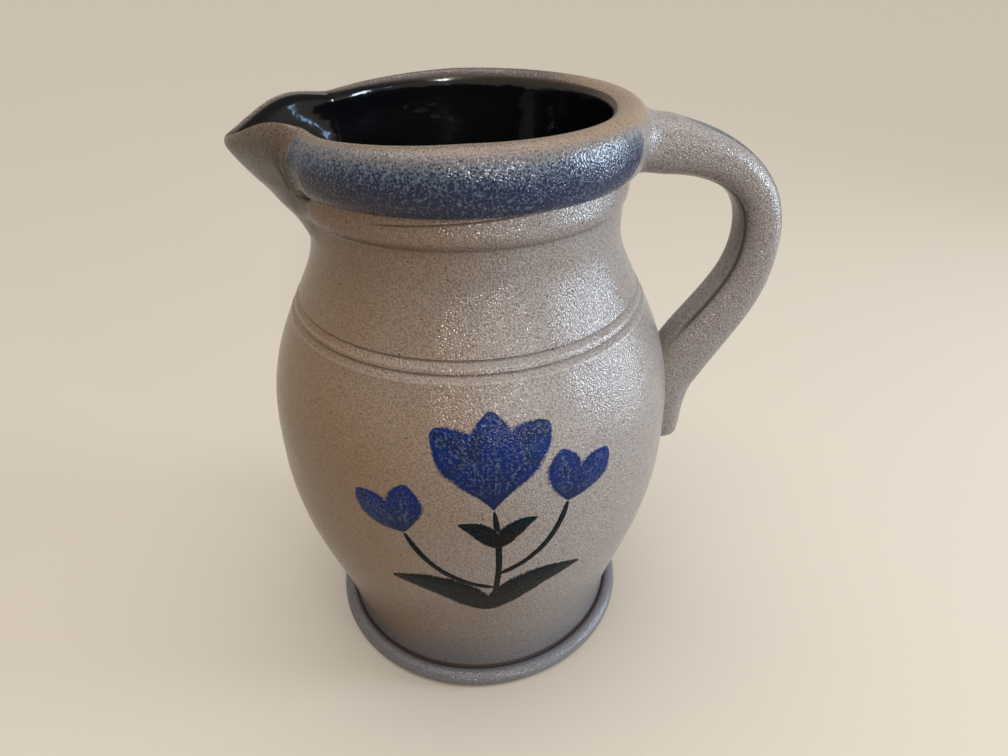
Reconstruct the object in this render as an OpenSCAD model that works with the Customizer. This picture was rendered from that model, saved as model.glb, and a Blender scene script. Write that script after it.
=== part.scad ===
// Salt-glazed stoneware pitcher, in millimetres.
// +Z is up and the origin is the centre of the flat base.
// The strap handle lies along +X, the pulled spout along -X and the painted side faces -Y.

/* [Body] */
// Radius of the wall just above the foot roll
waist_r = 59.3; // [55:0.1:64]
// Largest radius of the belly
belly_r = 76.9; // [72:0.1:82]
// Height of the belly's widest ring
belly_z = 99; // [88:1:110]
// How long the lower belly stays full before it draws in
belly_fill = 1.18; // [1:0.02:1.5]
// How long the shoulder stays full before it draws in to the neck
shoulder_fill = 1.52; // [1.2:0.02:1.8]
// Radius of the neck at its narrowest
neck_r = 53.9; // [50:0.1:58]
// Height of the neck's narrowest ring, where the collar is joined on
neck_z = 181; // [174:1:188]
// Thickness of the thrown wall
wall_t = 6.5; // [4.5:0.5:8]
// Thickness of the floor
floor_t = 9; // [7:0.5:14]
// Radius of the inside corner between floor and wall
floor_round = 18; // [8:1:26]

/* [Foot roll] */
// Height of the rolled foot
foot_h = 7; // [5:0.5:10]
// How far the foot roll stands out from the wall
foot_out = 5.8; // [3:0.2:8]

/* [Scribed lines] */
// Height of the lower scribed line
line_z = 154.2; // [148:0.2:160]
// Distance between the two scribed lines
line_gap = 4.2; // [3:0.1:6]
// Width of a scribed line
line_w = 1.8; // [1:0.1:2.4]
// Depth of a scribed line
line_depth = 0.7; // [0.3:0.1:1.2]

/* [Collar] */
// Height of the lip, which is the height of the pitcher
rim_z = 220; // [214:1:228]
// Height of the crease under the collar roll
crease_z = 200.5; // [196:0.5:204]
// How much the neck opens between its narrowest ring and the crease
neck_flare = 1.8; // [0.5:0.1:4]
// How far the collar roll stands out from the crease
collar_out = 5.6; // [3:0.1:8]
// Radius of the ring along the top of the lip
crest_r = 55.8; // [53:0.1:60]
// Radius of the roll from the lip's top to the mouth
lip_round = 3.8; // [2.5:0.1:5]

/* [Spout] */
// Half of the angle that the spout takes from the collar
spout_half = 34; // [26:1:42]
// How far the lip is pulled out at the spout's tip
spout_pull = 21; // [12:0.5:28]
// How far the lip drops at the spout's tip
spout_drop = 10; // [3:0.5:14]
// How much fuller than straight the keel is below the lip
keel_fill = 0.15; // [0:0.05:0.3]
// Thickness of the lip at the spout's tip
tip_t = 3.6; // [2.5:0.1:5]
// Angle over which the spout's keel is rounded
keel_round = 3; // [1:0.5:8]

/* [Handle] */
// Height of the strap's middle where it leaves the collar
handle_top_z = 203; // [200:0.5:207]
// Furthest reach of the strap's middle from the pitcher's axis
handle_reach = 107.4; // [100:0.2:116]
// Height at which the strap reaches furthest
handle_reach_z = 171.5; // [164:0.5:178]
// Height at which the strap lands on the belly
handle_land_z = 114.5; // [106:0.5:122]
// Height at which the pressed tail ends
tail_z = 84; // [78:0.5:92]
// Width of the strap
strap_w = 20; // [16:0.5:26]
// Thickness of the strap at the top of its bend
strap_t = 14.5; // [11:0.5:18]
// Thickness of the strap where it lands
strap_land_t = 19; // [14:0.5:22]
// Thickness of the pressed tail, from the belly outwards
tail_t = 9; // [6:0.5:12]
// How much the strap thickens where it joins the collar
root_flare = 3.5; // [2:0.5:6]

/* [Coats] */
// Thickness of the liner glaze
glaze_t = 0.5; // [0.3:0.1:1]
// Thickness of the brushed slip
slip_t = 0.4; // [0.3:0.1:0.8]
// Height of the cobalt band on the collar
band_h = 13; // [9:0.5:16]
// Gap between the crease and the cobalt band
band_rise = 1.5; // [1:0.5:4]
// Gap between the cobalt band and the handle's root
band_gap = 2; // [1:0.5:6]

/* [Painted sprig] */
// Height of the point where the sprig's leaves meet
sprig_z = 57; // [48:1:64]
// Height of the sprig
sprig_h = 88; // [76:1:92]
// Distance between the feet of the two buds
sprig_w = 54; // [44:1:60]
// Length of the two large leaves
leaf_len = 38; // [28:1:42]
// Width of the two large leaves
leaf_w = 14; // [9:0.5:16]
// Width of the stems
stem_w = 2.4; // [1.4:0.1:3.2]
// Length of the blossom's petals
petal_len = 33; // [24:1:36]
// Width of the blossom's petals
petal_w = 17; // [12:0.5:19]
// Length of the buds
bud_len = 20; // [14:0.5:22]

/* [Hidden] */
$fn = 96;

clay = [0.60, 0.56, 0.52];
clay_dark = [0.54, 0.49, 0.44];
liner_black = [0.05, 0.05, 0.06];
cobalt = [0.16, 0.24, 0.50];
leaf_green = [0.08, 0.15, 0.16];

// Steps along the wall, the collar roll, the lip, the strap and the spout
wall_steps = 26;
floor_steps = 6;
roll_steps = 12;
foot_steps = 8;
lip_steps = 4;
neck_steps = 5;
spout_steps = 18;
run_steps = 9;
strap_sides = 20;
stroke_steps = 14;

// Shape of the collar roll and of the strap's section, where 2 is round and more is squarer
roll_power = 2.4;
strap_power = 2.6;

// The thrown wall
function ease(t) = t * t * (3 - 2 * t);
function mix(a, b, t) = a + (b - a) * t;
function lower_r(z) = mix(belly_r, waist_r, ease(pow((belly_z - z) / (belly_z - foot_h), belly_fill)));
function upper_r(z) = mix(belly_r, neck_r, ease(pow((z - belly_z) / (neck_z - belly_z), shoulder_fill)));
function wall_r(z) = z <= foot_h ? waist_r : z <= belly_z ? lower_r(z) : z < neck_z ? upper_r(z) : neck_r;
function wall_points(z0, z1, out) =
    [for (i = [0:wall_steps]) let (z = mix(z0, z1, i / wall_steps)) [wall_r(z) + out, z]];

// The inside follows the wall down to a rounded corner at the floor
inside_z = floor_t + floor_round;
function inside_points(out) = concat(
    [[0, floor_t - out]],
    [for (i = [0:floor_steps]) let (a = 90 * i / floor_steps)
        [wall_r(inside_z) - wall_t + out - floor_round * (1 - sin(a)),
            inside_z - (floor_round + out) * cos(a)]],
    [for (i = [1:wall_steps]) let (z = mix(inside_z, neck_z, i / wall_steps))
        [wall_r(z) - wall_t + out, z]]);

// The foot roll is rounded from just above its underside to its top
foot_roll = foot_out * 0.6;
foot_start = -70;

// The collar's section from the neck's outside over the lip to the neck's inside.
// Each point is [radius, height, share of the roll in the radius].
crease_r = neck_r + neck_flare;
mouth_r = crest_r - lip_round;
neck_in_r = neck_r - wall_t;
function roll_bulge(t) = collar_out * pow(max(0, 1 - pow(abs(t), roll_power)), 1 / roll_power);
function roll_point(t) =
    let (b = roll_bulge(t), k = (t + 1) / 2)
    [mix(crease_r, crest_r, k) + b, mix(crease_z, rim_z, k), b];
collar_outside = concat(
    [for (i = [0:neck_steps - 1]) let (t = i / neck_steps)
        [neck_r + neck_flare * t * t, mix(neck_z, crease_z, t), 0]],
    [for (i = [0:roll_steps]) roll_point(-cos(180 * i / roll_steps))]);
collar_inside = concat(
    [for (i = [1:lip_steps]) let (a = 90 * i / lip_steps)
        [crest_r - lip_round * sin(a), rim_z - lip_round * (1 - cos(a)), 0]],
    [for (i = [1:neck_steps]) let (t = i / neck_steps)
        [mix(mouth_r, neck_in_r, ease(t)), mix(rim_z - lip_round, neck_z, t), 0]]);
collar_section = concat(collar_outside, collar_inside);
function flat_points(points) = [for (p = points) [p[0], p[1]]];

// The spout is the collar's own section, pulled out and lowered towards its tip
keel_power = 4;
roll_fade = 4;
function keel_rise(h) = h * (1 + keel_fill * (1 - pow(h, keel_power)));
function round_abs(a) = sqrt(a * a + keel_round * keel_round) - keel_round;
function pull_share(a) = 1 - round_abs(a) / round_abs(spout_half);
function roll_share(a) = max(0, 1 - roll_fade * pull_share(a));
lip_t = crest_r - mouth_r;
function pulled(p, a, inner, out) =
    let (s = pull_share(a), h = (p[1] - neck_z) / (rim_z - neck_z),
        thin = inner ? max(0, lip_t - tip_t) * s * h : 0,
        r = p[0] - p[2] * (1 - roll_share(a)) + spout_pull * s * keel_rise(h) + thin + out)
    [-r * cos(a), r * sin(a), p[1] - spout_drop * s * s * h];
function spout_angle(i) = mix(spout_half, -spout_half, i / spout_steps);
function is_inside(k) = k > len(collar_outside);

// Triangles that skin a list of rings, each of m points, with a cap at each end.
// A coat that lies on another skin splits its quads along the other diagonal, so that they share facets.
function quad(a, b, c, d, coat) = coat ? [[a, b, d], [b, c, d]] : [[a, b, c], [a, c, d]];
function skin_faces(n, m, coat) = concat(
    [[for (j = [0:m - 1]) m - 1 - j]],
    [for (i = [0:n - 2], j = [0:m - 1])
        each quad(i * m + j, i * m + (j + 1) % m, (i + 1) * m + (j + 1) % m, (i + 1) * m + j, coat)],
    [[for (j = [0:m - 1]) (n - 1) * m + j]]);
module skin(rings, coat = false) {
    polyhedron([for (ring = rings) each ring], skin_faces(len(rings), len(rings[0]), coat), convexity = 6);
}

// The strap's middle line in the XZ plane: a straight lead out of the collar,
// the bend over the top, the run down to the belly and the tail pressed against it.
// Each whole number along the line ends one of these stretches.
root_bite = 2;
lead_run = 5;
root_slope = 0.06;
land_angle = 233;
// Shares of the strap's thickness that lie between the belly and the middle line
land_seat = 0.28;
tail_seat = 0.4;
// How strongly a stretch holds its direction at its start and at its end
bend_hold = [1.2, 1.37];
drop_hold = [0.85, 0.72];
tail_hold = [0.42, 0.35];
root_x = neck_in_r + root_bite;
lead_x = crease_r + collar_out + lead_run;
land_x = wall_r(handle_land_z) + strap_land_t * land_seat;
tail_x = wall_r(tail_z) + tail_t * tail_seat;
bend_pull = handle_reach - lead_x;
drop_pull = handle_reach_z - handle_land_z;
function hermite(p, v, q, w, t) =
    let (a = t * t * (3 - 2 * t))
    p * (1 - a) + q * a + v * (t * (1 - t) * (1 - t)) - w * (t * t * (1 - t));
lead_p = [lead_x, handle_top_z + root_slope * lead_run];
reach_p = [handle_reach, handle_reach_z];
land_p = [land_x, handle_land_z];
tail_p = [tail_x, tail_z];
land_dir = [cos(land_angle), sin(land_angle)];
down = [0, -1];
// Places along the line
flare_u = 0.75;
lead_u = 1;
bend_u = 1.35;
crown_u = 1.8;
reach_u = 2;
drop_u = 2.4;
land_u = 3;
press_u = 3.7;
end_u = 4;
function middle(u) =
    u <= lead_u ? mix([root_x, handle_top_z], lead_p, u) :
    u <= reach_u ? hermite(lead_p, [1, root_slope] * bend_pull * bend_hold[0],
        reach_p, down * bend_pull * bend_hold[1], u - lead_u) :
    u <= land_u ? hermite(reach_p, down * drop_pull * drop_hold[0],
        land_p, land_dir * drop_pull * drop_hold[1], u - reach_u) :
    hermite(land_p, land_dir * drop_pull * tail_hold[0],
        tail_p, down * drop_pull * tail_hold[1], u - land_u);
// Half of the strap's thickness and half of its width, with a flare that fades from the root
swell = 0.8;
press_t = tail_t * 0.7;
end_t = tail_t * 0.35;
end_w = strap_w * 0.36;
function flare(u) = root_flare * lookup(u, [[flare_u, 1], [lead_u, 0.4], [bend_u, 0.25], [crown_u, 0]]);
function half_t(u) = flare(u) + lookup(u, [[crown_u, strap_t / 2],
    [drop_u, mix(strap_t, strap_land_t, swell) / 2], [land_u, strap_land_t / 2],
    [press_u, press_t], [end_u, end_t]]);
function half_w(u) = flare(u) + lookup(u, [[press_u, strap_w / 2], [end_u, end_w]]);
function squared(a) = [sign(cos(a)) * pow(abs(cos(a)), 2 / strap_power),
    sign(sin(a)) * pow(abs(sin(a)), 2 / strap_power)];
nudge = 0.01;
function strap_point(u, a, out) =
    let (c = middle(u), d = middle(min(end_u, u + nudge)) - middle(max(0, u - nudge)),
        n = [-d[1], d[0]] / norm(d), q = squared(a), t = (half_t(u) + out) * q[1])
    [c[0] + n[0] * t, (half_w(u) + out) * q[0], c[1] + n[1] * t];
strap_rings = end_u * run_steps;
function strap_ring(u) = [for (j = [0:strap_sides - 1]) strap_point(u, -360 * j / strap_sides, 0)];

// Outlines of brush strokes, drawn on a flat plane with the sprig's foot at the origin.
// A stroke runs from p to q and bows sideways by its bend.
// It is widest halfway where fat is 1, nearer its foot below that and nearer its tip above.
stroke_blunt = 0.7;
function stroke_mid(p, q, bend, t) =
    let (d = q - p) p + d * t + [-d[1], d[0]] / norm(d) * bend * 4 * t * (1 - t);
function stroke_half(w, fat, t) = w / 2 * pow(sin(180 * pow(t, fat)), stroke_blunt);
function stroke(p, q, bend, w, fat) =
    let (d = q - p, n = [-d[1], d[0]] / norm(d))
    concat([for (i = [0:stroke_steps]) let (t = i / stroke_steps)
            stroke_mid(p, q, bend, t) + n * stroke_half(w, fat, t)],
        [for (i = [1:stroke_steps - 1]) let (t = 1 - i / stroke_steps)
            stroke_mid(p, q, bend, t) - n * stroke_half(w, fat, t)]);
function stem(p, q, bend, w) =
    let (d = q - p, n = [-d[1], d[0]] / norm(d))
    concat([for (i = [0:stroke_steps]) let (t = i / stroke_steps) stroke_mid(p, q, bend, t) + n * w / 2],
        [for (i = [0:stroke_steps]) let (t = 1 - i / stroke_steps) stroke_mid(p, q, bend, t) - n * w / 2]);
function polar(len, a) = [len * cos(a), len * sin(a)];

// Points of the sprig, where a fork or a leaf has a place along the main stem
left_fork_at = 0.3;
right_fork_at = 0.45;
small_leaf_at = 0.7;
left_bud_z = sprig_h * 0.5;
right_bud_z = sprig_h * 0.6;
flower_p = [stem_w, sprig_h - petal_len];
stem_bend = -stem_w;
function along_stem(t) = stroke_mid([0, 0], flower_p, stem_bend, t);
side_bow = sprig_w * 0.09;
// The blossom's outer petals and the buds lean by these angles
petal_lean = 34;
petal_bow = petal_w * 0.18;
petal_fat = 1.5;
mid_petal_fat = 1.3;
bud_w = bud_len * 0.62;
bud_split = 25;
left_bud_lean = 110;
right_bud_lean = 72;
// The large leaves spring from the foot and the small ones from higher up
leaf_foot = [0, 1];
leaf_rise = 29;
leaf_bow = leaf_w * 0.5;
leaf_fat = 0.75;
small_leaf_rise = 40;
small_leaf_len = leaf_len * 0.45;
small_leaf_w = leaf_w * 0.55;

// A skin on the belly between two heights, thick enough to hold a coat of slip
shell_margin = 4;
module belly_skin() {
    z0 = sprig_z - shell_margin;
    z1 = sprig_z + sprig_h + shell_margin;
    inner = wall_points(z0, z1, 0);
    outer = wall_points(z0, z1, slip_t);
    rotate_extrude() polygon(concat(inner, [for (i = [wall_steps:-1:0]) outer[i]]));
}
// Cuts a flat drawing out of the belly's skin on the painted side
module on_belly() {
    intersection() {
        belly_skin();
        translate([0, 0, sprig_z]) rotate([90, 0, 0]) linear_extrude(belly_r + shell_margin) children();
    }
}
module stems_flat() {
    polygon(stem([0, 0], flower_p, stem_bend, stem_w));
    polygon(stem(along_stem(left_fork_at), [-sprig_w / 2, left_bud_z], side_bow, stem_w));
    polygon(stem(along_stem(right_fork_at), [sprig_w / 2, right_bud_z], -side_bow, stem_w));
}
module blossom_flat() {
    for (side = [-1, 1])
        polygon(stroke(flower_p, flower_p + polar(petal_len, 90 + side * petal_lean),
            -side * petal_bow, petal_w, petal_fat));
    polygon(stroke(flower_p, flower_p + [0, petal_len], 0, petal_w, mid_petal_fat));
}
module bud_flat(foot, lean) {
    for (side = [-1, 1])
        polygon(stroke(foot, foot + polar(bud_len, lean + side * bud_split), 0, bud_w, mid_petal_fat));
}
module buds_flat() {
    bud_flat([-sprig_w / 2, left_bud_z], left_bud_lean);
    bud_flat([sprig_w / 2, right_bud_z], right_bud_lean);
}
module leaf_pair_flat(foot, len, rise, bow, w) {
    polygon(stroke(foot, foot + polar(len, rise), bow, w, leaf_fat));
    polygon(stroke(foot, foot + polar(len, 180 - rise), -bow, w, leaf_fat));
}
module leaves_flat() {
    leaf_pair_flat(leaf_foot, leaf_len, leaf_rise, leaf_bow, leaf_w);
    leaf_pair_flat(along_stem(small_leaf_at), small_leaf_len, small_leaf_rise, stem_w, small_leaf_w);
}

// The whole outside of the clay, solid, for seating the handle
module outside_form() {
    rotate_extrude()
        polygon(concat([[0, 0]], wall_points(0, neck_z, 0), flat_points(collar_outside), [[0, rim_z]]));
}

module scribed_line(z) {
    r = wall_r(z);
    rotate_extrude()
        polygon([[r - line_depth, z], [r + line_depth, z - line_w], [r + line_depth, z + line_w]]);
}

module thrown_body() {
    inside = inside_points(0);
    color(clay) difference() {
        rotate_extrude()
            polygon(concat([[0, 0], [waist_r, 0]], wall_points(foot_h, neck_z, 0),
                [for (i = [len(inside) - 1:-1:0]) inside[i]]));
        scribed_line(line_z);
        scribed_line(line_z + line_gap);
    }
}

module foot_ring() {
    color(clay) rotate_extrude()
        polygon(concat([[waist_r, foot_h], [waist_r, 0]],
            [for (i = [0:foot_steps]) let (a = mix(foot_start, 90, i / foot_steps))
                [waist_r + foot_out - foot_roll * (1 - cos(a)), foot_h / 2 * (1 + sin(a))]]));
}

module neck_collar() {
    color(clay) rotate_extrude(angle = 360 - 2 * spout_half, start = 180 + spout_half)
        polygon(flat_points(collar_section));
}

module pouring_spout() {
    color(clay_dark) skin([for (i = [0:spout_steps]) let (a = spout_angle(i))
        [for (k = [0:len(collar_section) - 1]) pulled(collar_section[k], a, is_inside(k), 0)]]);
}

module strap_handle() {
    color(clay) difference() {
        skin([for (i = [0:strap_rings]) strap_ring(i / run_steps)]);
        outside_form();
    }
}

module body_liner() {
    clay_side = inside_points(0);
    bare_side = inside_points(-glaze_t);
    color(liner_black) rotate_extrude()
        polygon(concat(clay_side, [for (i = [len(bare_side) - 1:-1:0]) bare_side[i]]));
}

module collar_liner() {
    inner = flat_points(collar_inside);
    color(liner_black) rotate_extrude(angle = 360 - 2 * spout_half, start = 180 + spout_half)
        polygon(concat([for (i = [lip_steps - 1:len(inner) - 1]) inner[i]],
            [for (i = [len(inner) - 1:-1:lip_steps - 1]) inner[i] - [glaze_t, 0]]));
}

module spout_liner() {
    last = len(collar_inside) - 1;
    color(liner_black) skin([for (i = [0:spout_steps]) let (a = spout_angle(i)) concat(
        [for (k = [lip_steps - 1:last]) pulled(collar_inside[k], a, true, -glaze_t)],
        [for (k = [last:-1:lip_steps - 1]) pulled(collar_inside[k], a, true, 0)])], coat = true);
}

// The band stops short of the handle's root at one end and of the spout at the other
band_bare = asin((strap_w / 2 + root_flare + band_gap) / (crease_r + collar_out));
module cobalt_band(start) {
    t0 = 2 * band_rise / (rim_z - crease_z) - 1;
    t1 = 2 * (band_rise + band_h) / (rim_z - crease_z) - 1;
    points = [for (i = [0:roll_steps]) roll_point(mix(t0, t1, i / roll_steps))];
    color(cobalt) rotate_extrude(angle = 180 - spout_half - band_bare, start = start)
        polygon(concat([for (p = points) [p[0], p[1]]],
            [for (i = [roll_steps:-1:0]) [points[i][0] + slip_t, points[i][1]]]));
}
module cobalt_band_front() { cobalt_band(180 + spout_half); }
module cobalt_band_back() { cobalt_band(band_bare); }

// The brushed stroke covers the strap's upper faces between two of its rings
brush_rings = [12:17];
brush_sides = [3:7];
module handle_stroke() {
    arc = [for (j = brush_sides) 360 * j / strap_sides];
    color(cobalt) skin([for (i = brush_rings) let (u = i / run_steps) concat(
        [for (a = arc) strap_point(u, a, 0)],
        [for (j = [len(arc) - 1:-1:0]) strap_point(u, arc[j], slip_t)])], coat = true);
}

module sprig_stems() {
    color(leaf_green) on_belly() stems_flat();
}

module sprig_leaves() {
    color(leaf_green) on_belly() difference() {
        leaves_flat();
        stems_flat();
        blossom_flat();
        buds_flat();
    }
}

module sprig_blossom() {
    color(cobalt) on_belly() difference() {
        blossom_flat();
        stems_flat();
    }
}

module sprig_buds() {
    color(cobalt) on_belly() difference() {
        buds_flat();
        stems_flat();
        blossom_flat();
    }
}

thrown_body();
foot_ring();
neck_collar();
pouring_spout();
strap_handle();
body_liner();
collar_liner();
spout_liner();
cobalt_band_front();
cobalt_band_back();
handle_stroke();
sprig_stems();
sprig_leaves();
sprig_blossom();
sprig_buds();
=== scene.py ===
"""Salt-glazed stoneware pitcher: the looks of its clay, its liner glaze and its brushed slip.

Every piece is made in metres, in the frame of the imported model, and stands for one of its nodes.
The handle lies along +X, the spout along -X and the painted side faces -Y.
"""
import math

import bmesh
import bpy
import numpy as np
from mathutils import Matrix, Vector


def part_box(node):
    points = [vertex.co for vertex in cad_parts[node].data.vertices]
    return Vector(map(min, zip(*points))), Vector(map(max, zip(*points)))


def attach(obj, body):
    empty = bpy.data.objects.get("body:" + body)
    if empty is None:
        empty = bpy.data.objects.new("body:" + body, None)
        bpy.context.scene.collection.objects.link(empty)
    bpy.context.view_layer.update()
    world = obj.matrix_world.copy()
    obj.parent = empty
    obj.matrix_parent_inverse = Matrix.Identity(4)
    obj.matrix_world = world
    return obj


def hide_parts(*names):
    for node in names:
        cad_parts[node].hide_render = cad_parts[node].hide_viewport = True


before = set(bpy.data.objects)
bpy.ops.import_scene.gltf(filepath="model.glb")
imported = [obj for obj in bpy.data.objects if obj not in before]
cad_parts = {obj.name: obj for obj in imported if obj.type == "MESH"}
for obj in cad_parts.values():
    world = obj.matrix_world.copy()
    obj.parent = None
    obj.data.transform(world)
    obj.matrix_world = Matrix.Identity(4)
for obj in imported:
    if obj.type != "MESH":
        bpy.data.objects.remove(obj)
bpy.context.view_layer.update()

bl_info = {
    "name": "Salt-glazed pitcher",
    "version": (1, 0, 0),
    "blender": (4, 5, 0),
    "location": "3D View > Sidebar > Pitcher",
    "description": "Throws, pulls, glazes and paints a stoneware pitcher in its CAD frame",
    "category": "Object",
}

MM = 0.001
body_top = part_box("thrown_body")[1]
foot_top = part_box("foot_ring")[1]
collar_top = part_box("neck_collar")[1]
strap_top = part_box("strap_handle")[1]


# Sizes and colours

def length(label, words, metres):
    """A length property."""
    return bpy.props.FloatProperty(name=label, description=words, default=metres, min=0.0, unit="LENGTH")


def turn(label, words, degrees):
    """An angle property, given in degrees."""
    return bpy.props.FloatProperty(
        name=label, description=words, default=math.radians(degrees), subtype="ANGLE")


def colour(label, words, *levels):
    """A colour property, given as levels from 0 to 255 on a screen."""
    shares = [level / 255 for level in levels]
    linear = [v / 12.92 if v < 0.04045 else ((v + 0.055) / 1.055) ** 2.4 for v in shares]
    return bpy.props.FloatVectorProperty(
        name=label, description=words, default=linear, size=3, min=0.0, max=1.0, subtype="COLOR")


class PitcherSizes(bpy.types.PropertyGroup):
    """Sizes of the clay, the coats and the brush marks"""
    waist_r: length("Waist", "Radius of the wall just above the foot roll", 59.3 * MM)
    belly_r: length("Belly", "Largest radius of the belly", body_top.x)
    belly_z: length("Belly height", "Height of the belly's widest ring", 99 * MM)
    neck_r: length("Neck", "Radius of the neck at its narrowest", 53.9 * MM)
    neck_z: length("Neck height", "Height at which the collar is joined on", body_top.z)
    wall_t: length("Wall", "Thickness of the thrown wall", 6.5 * MM)
    floor_t: length("Floor", "Thickness of the floor", 9 * MM)
    floor_round: length("Floor corner", "Radius of the inside corner at the floor", 18 * MM)
    foot_h: length("Foot height", "Height of the foot roll", foot_top.z)
    foot_r: length("Foot", "Outside radius of the foot roll", foot_top.x)
    line_z: length("Scribed line", "Height of the upper scribed line", 158.4 * MM)
    line_gap: length("Line gap", "Distance between the two scribed lines", 3.8 * MM)
    line_depth: length("Line depth", "Depth of a scribed line", 1.0 * MM)
    ring_depth: length("Throwing rings", "Depth of the rings that fingers leave on the wall", 0.12 * MM)
    ring_spacing: length("Ring spacing", "Distance between two throwing rings", 5 * MM)
    wobble: length("Wobble", "How far the thrown wall strays from a true round", 0.3 * MM)
    rim_z: length("Lip height", "Height of the lip at the handle", collar_top.z)
    crease_z: length("Crease", "Height of the crease under the collar roll", 200.5 * MM)
    neck_flare: length("Neck flare", "How much the neck opens up to the crease", 1.8 * MM)
    bead_out: length("Neck bead", "How far the bead under the crease stands out", 2.2 * MM)
    collar_out: length("Collar roll", "How far the collar roll stands out from the crease", 5.6 * MM)
    crest_r: length("Lip", "Radius of the ring along the top of the lip", 54.5 * MM)
    mouth_r: length("Mouth", "Radius of the mouth inside the lip", 52 * MM)
    lip_round: length("Lip roll", "Depth of the roll from the lip's top to the mouth", 3.8 * MM)
    lip_sag: length("Lip sag", "How much lower the lip lies beside the spout", 3 * MM)
    spout_turn: turn("Spout angle", "Half of the angle that the spout takes from the lip", 30.4)
    spout_pull: length("Spout pull", "How far the lip is pulled out at the spout's tip", 23.4 * MM)
    spout_drop: length("Spout drop", "How far the spout's tip drops", 6.2 * MM)
    spout_wing: length("Spout wings", "How far the lip rises on both sides of the tip", 2.9 * MM)
    spout_nose: length("Spout nose", "How far the spout's edge is rounded back at its tip", 1.8 * MM)
    strap_top_z: length("Handle root", "Height of the strap's middle where it leaves the collar", 204 * MM)
    strap_reach: length("Handle reach", "Furthest reach of the strap from the axis", strap_top.x)
    strap_reach_z: length("Reach height", "Height at which the strap reaches furthest", 168.8 * MM)
    strap_land_z: length("Handle landing", "Height at which the strap lands on the belly", 115 * MM)
    tail_z: length("Handle tail", "Height at which the pressed tail ends", 84 * MM)
    strap_w: length("Strap width", "Width of the strap", 20 * MM)
    strap_t: length("Strap thickness", "Thickness of the strap at the top of its bend", 14.5 * MM)
    strap_land_t: length("Landing thickness", "Thickness of the strap where it lands", 19 * MM)
    tail_t: length("Tail thickness", "Thickness of the pressed tail", 9 * MM)
    glaze_t: length("Liner glaze", "Thickness of the liner glaze", 0.5 * MM)
    slip_t: length("Brushed slip", "Thickness of the brushed slip", 0.25 * MM)
    sprig_z: length("Sprig foot", "Height of the point where the sprig's leaves meet", 57 * MM)
    sprig_h: length("Sprig height", "Height of the sprig", 88 * MM)
    sprig_w: length("Sprig width", "Distance between the feet of the two buds", 54 * MM)
    leaf_len: length("Leaf length", "Length of the two large leaves", 38 * MM)
    leaf_w: length("Leaf width", "Width of the two large leaves", 14 * MM)
    stem_w: length("Stem width", "Width of the stems", 2.4 * MM)
    petal_len: length("Petal length", "Length of the blossom's petals", 33 * MM)
    petal_w: length("Petal width", "Width of the blossom's petals", 17 * MM)
    bud_len: length("Bud length", "Length of the buds", 20 * MM)


class PitcherColours(bpy.types.PropertyGroup):
    """Colours of the clay, the glaze and the slips"""
    clay: colour("Clay", "Salt-glazed grey of the body", 152, 143, 137)
    # Partly kiln flashing, partly painted warm bounce light on the spout's side
    clay_flash_and_bounce: colour("Flashed clay and warm bounce", "Tan that the kiln leaves on the spout's side", 141, 110, 78)
    clay_bare: colour("Bare clay", "Tan of the lip where the glaze has run off", 150, 126, 104)
    clay_deep: colour("Glaze pits", "Darker grey-brown between the glaze's pebbles", 92, 79, 70)
    # Painted shade low on the body and foot, tinted cool as a painted sheen of the window
    clay_low_shade: colour("Low shade", "Cool grey of the clay at the foot", 98, 100, 107)
    # Toasted speckle, also used as painted shade on the spout and the far lip
    clay_toast_and_shade: colour("Toasted clay and shade", "Brown speckle of the spout's sides and the lip", 74, 60, 48)
    # Pooled glaze, also used as painted shade in creases, grooves and the scribed lines' drops
    pooled_glaze_and_shade: colour("Pooled glaze and shade", "Brown of the glaze where it gathers in grooves", 58, 42, 33)
    # Broken glaze, also used as a painted highlight along the scribed lines' ridges
    broken_glaze_and_highlight: colour("Broken glaze and highlight", "Pale tan where the glaze breaks over an edge", 184, 170, 152)
    iron: colour("Iron specks", "Small specks of iron in the clay", 48, 34, 26)
    liner: colour("Liner", "Black of the liner glaze", 9, 9, 12)
    liner_edge: colour("Liner edge", "Brown of the liner glaze where it breaks over the lip", 62, 46, 37)
    cobalt: colour("Cobalt", "Blue of the slip brushed round the collar", 11, 25, 60)
    petal: colour("Petal blue", "Blue of the brushed petals", 3, 29, 86)
    cobalt_pale: colour("Pale cobalt", "Blue of the slip where the glaze lies thick", 98, 110, 118)
    leaf: colour("Leaf slip", "Blue-green of the brushed leaves", 3, 20, 26)
    leaf_brown: colour("Leaf brown", "Brown of the leaf slip near its foot", 18, 15, 13)
    floor: colour("Floor", "Plain floor under the pitcher", 186, 173, 156)
    backdrop: colour("Backdrop", "Plain backdrop behind the floor", 206, 195, 180)
    room: colour("Room light", "Tone of the soft light that comes from all sides", 132, 128, 123)
    floor_glow: colour("Floor bounce", "Tone of the light that the floor throws back", 80, 61, 44)


# Nodes

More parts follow.
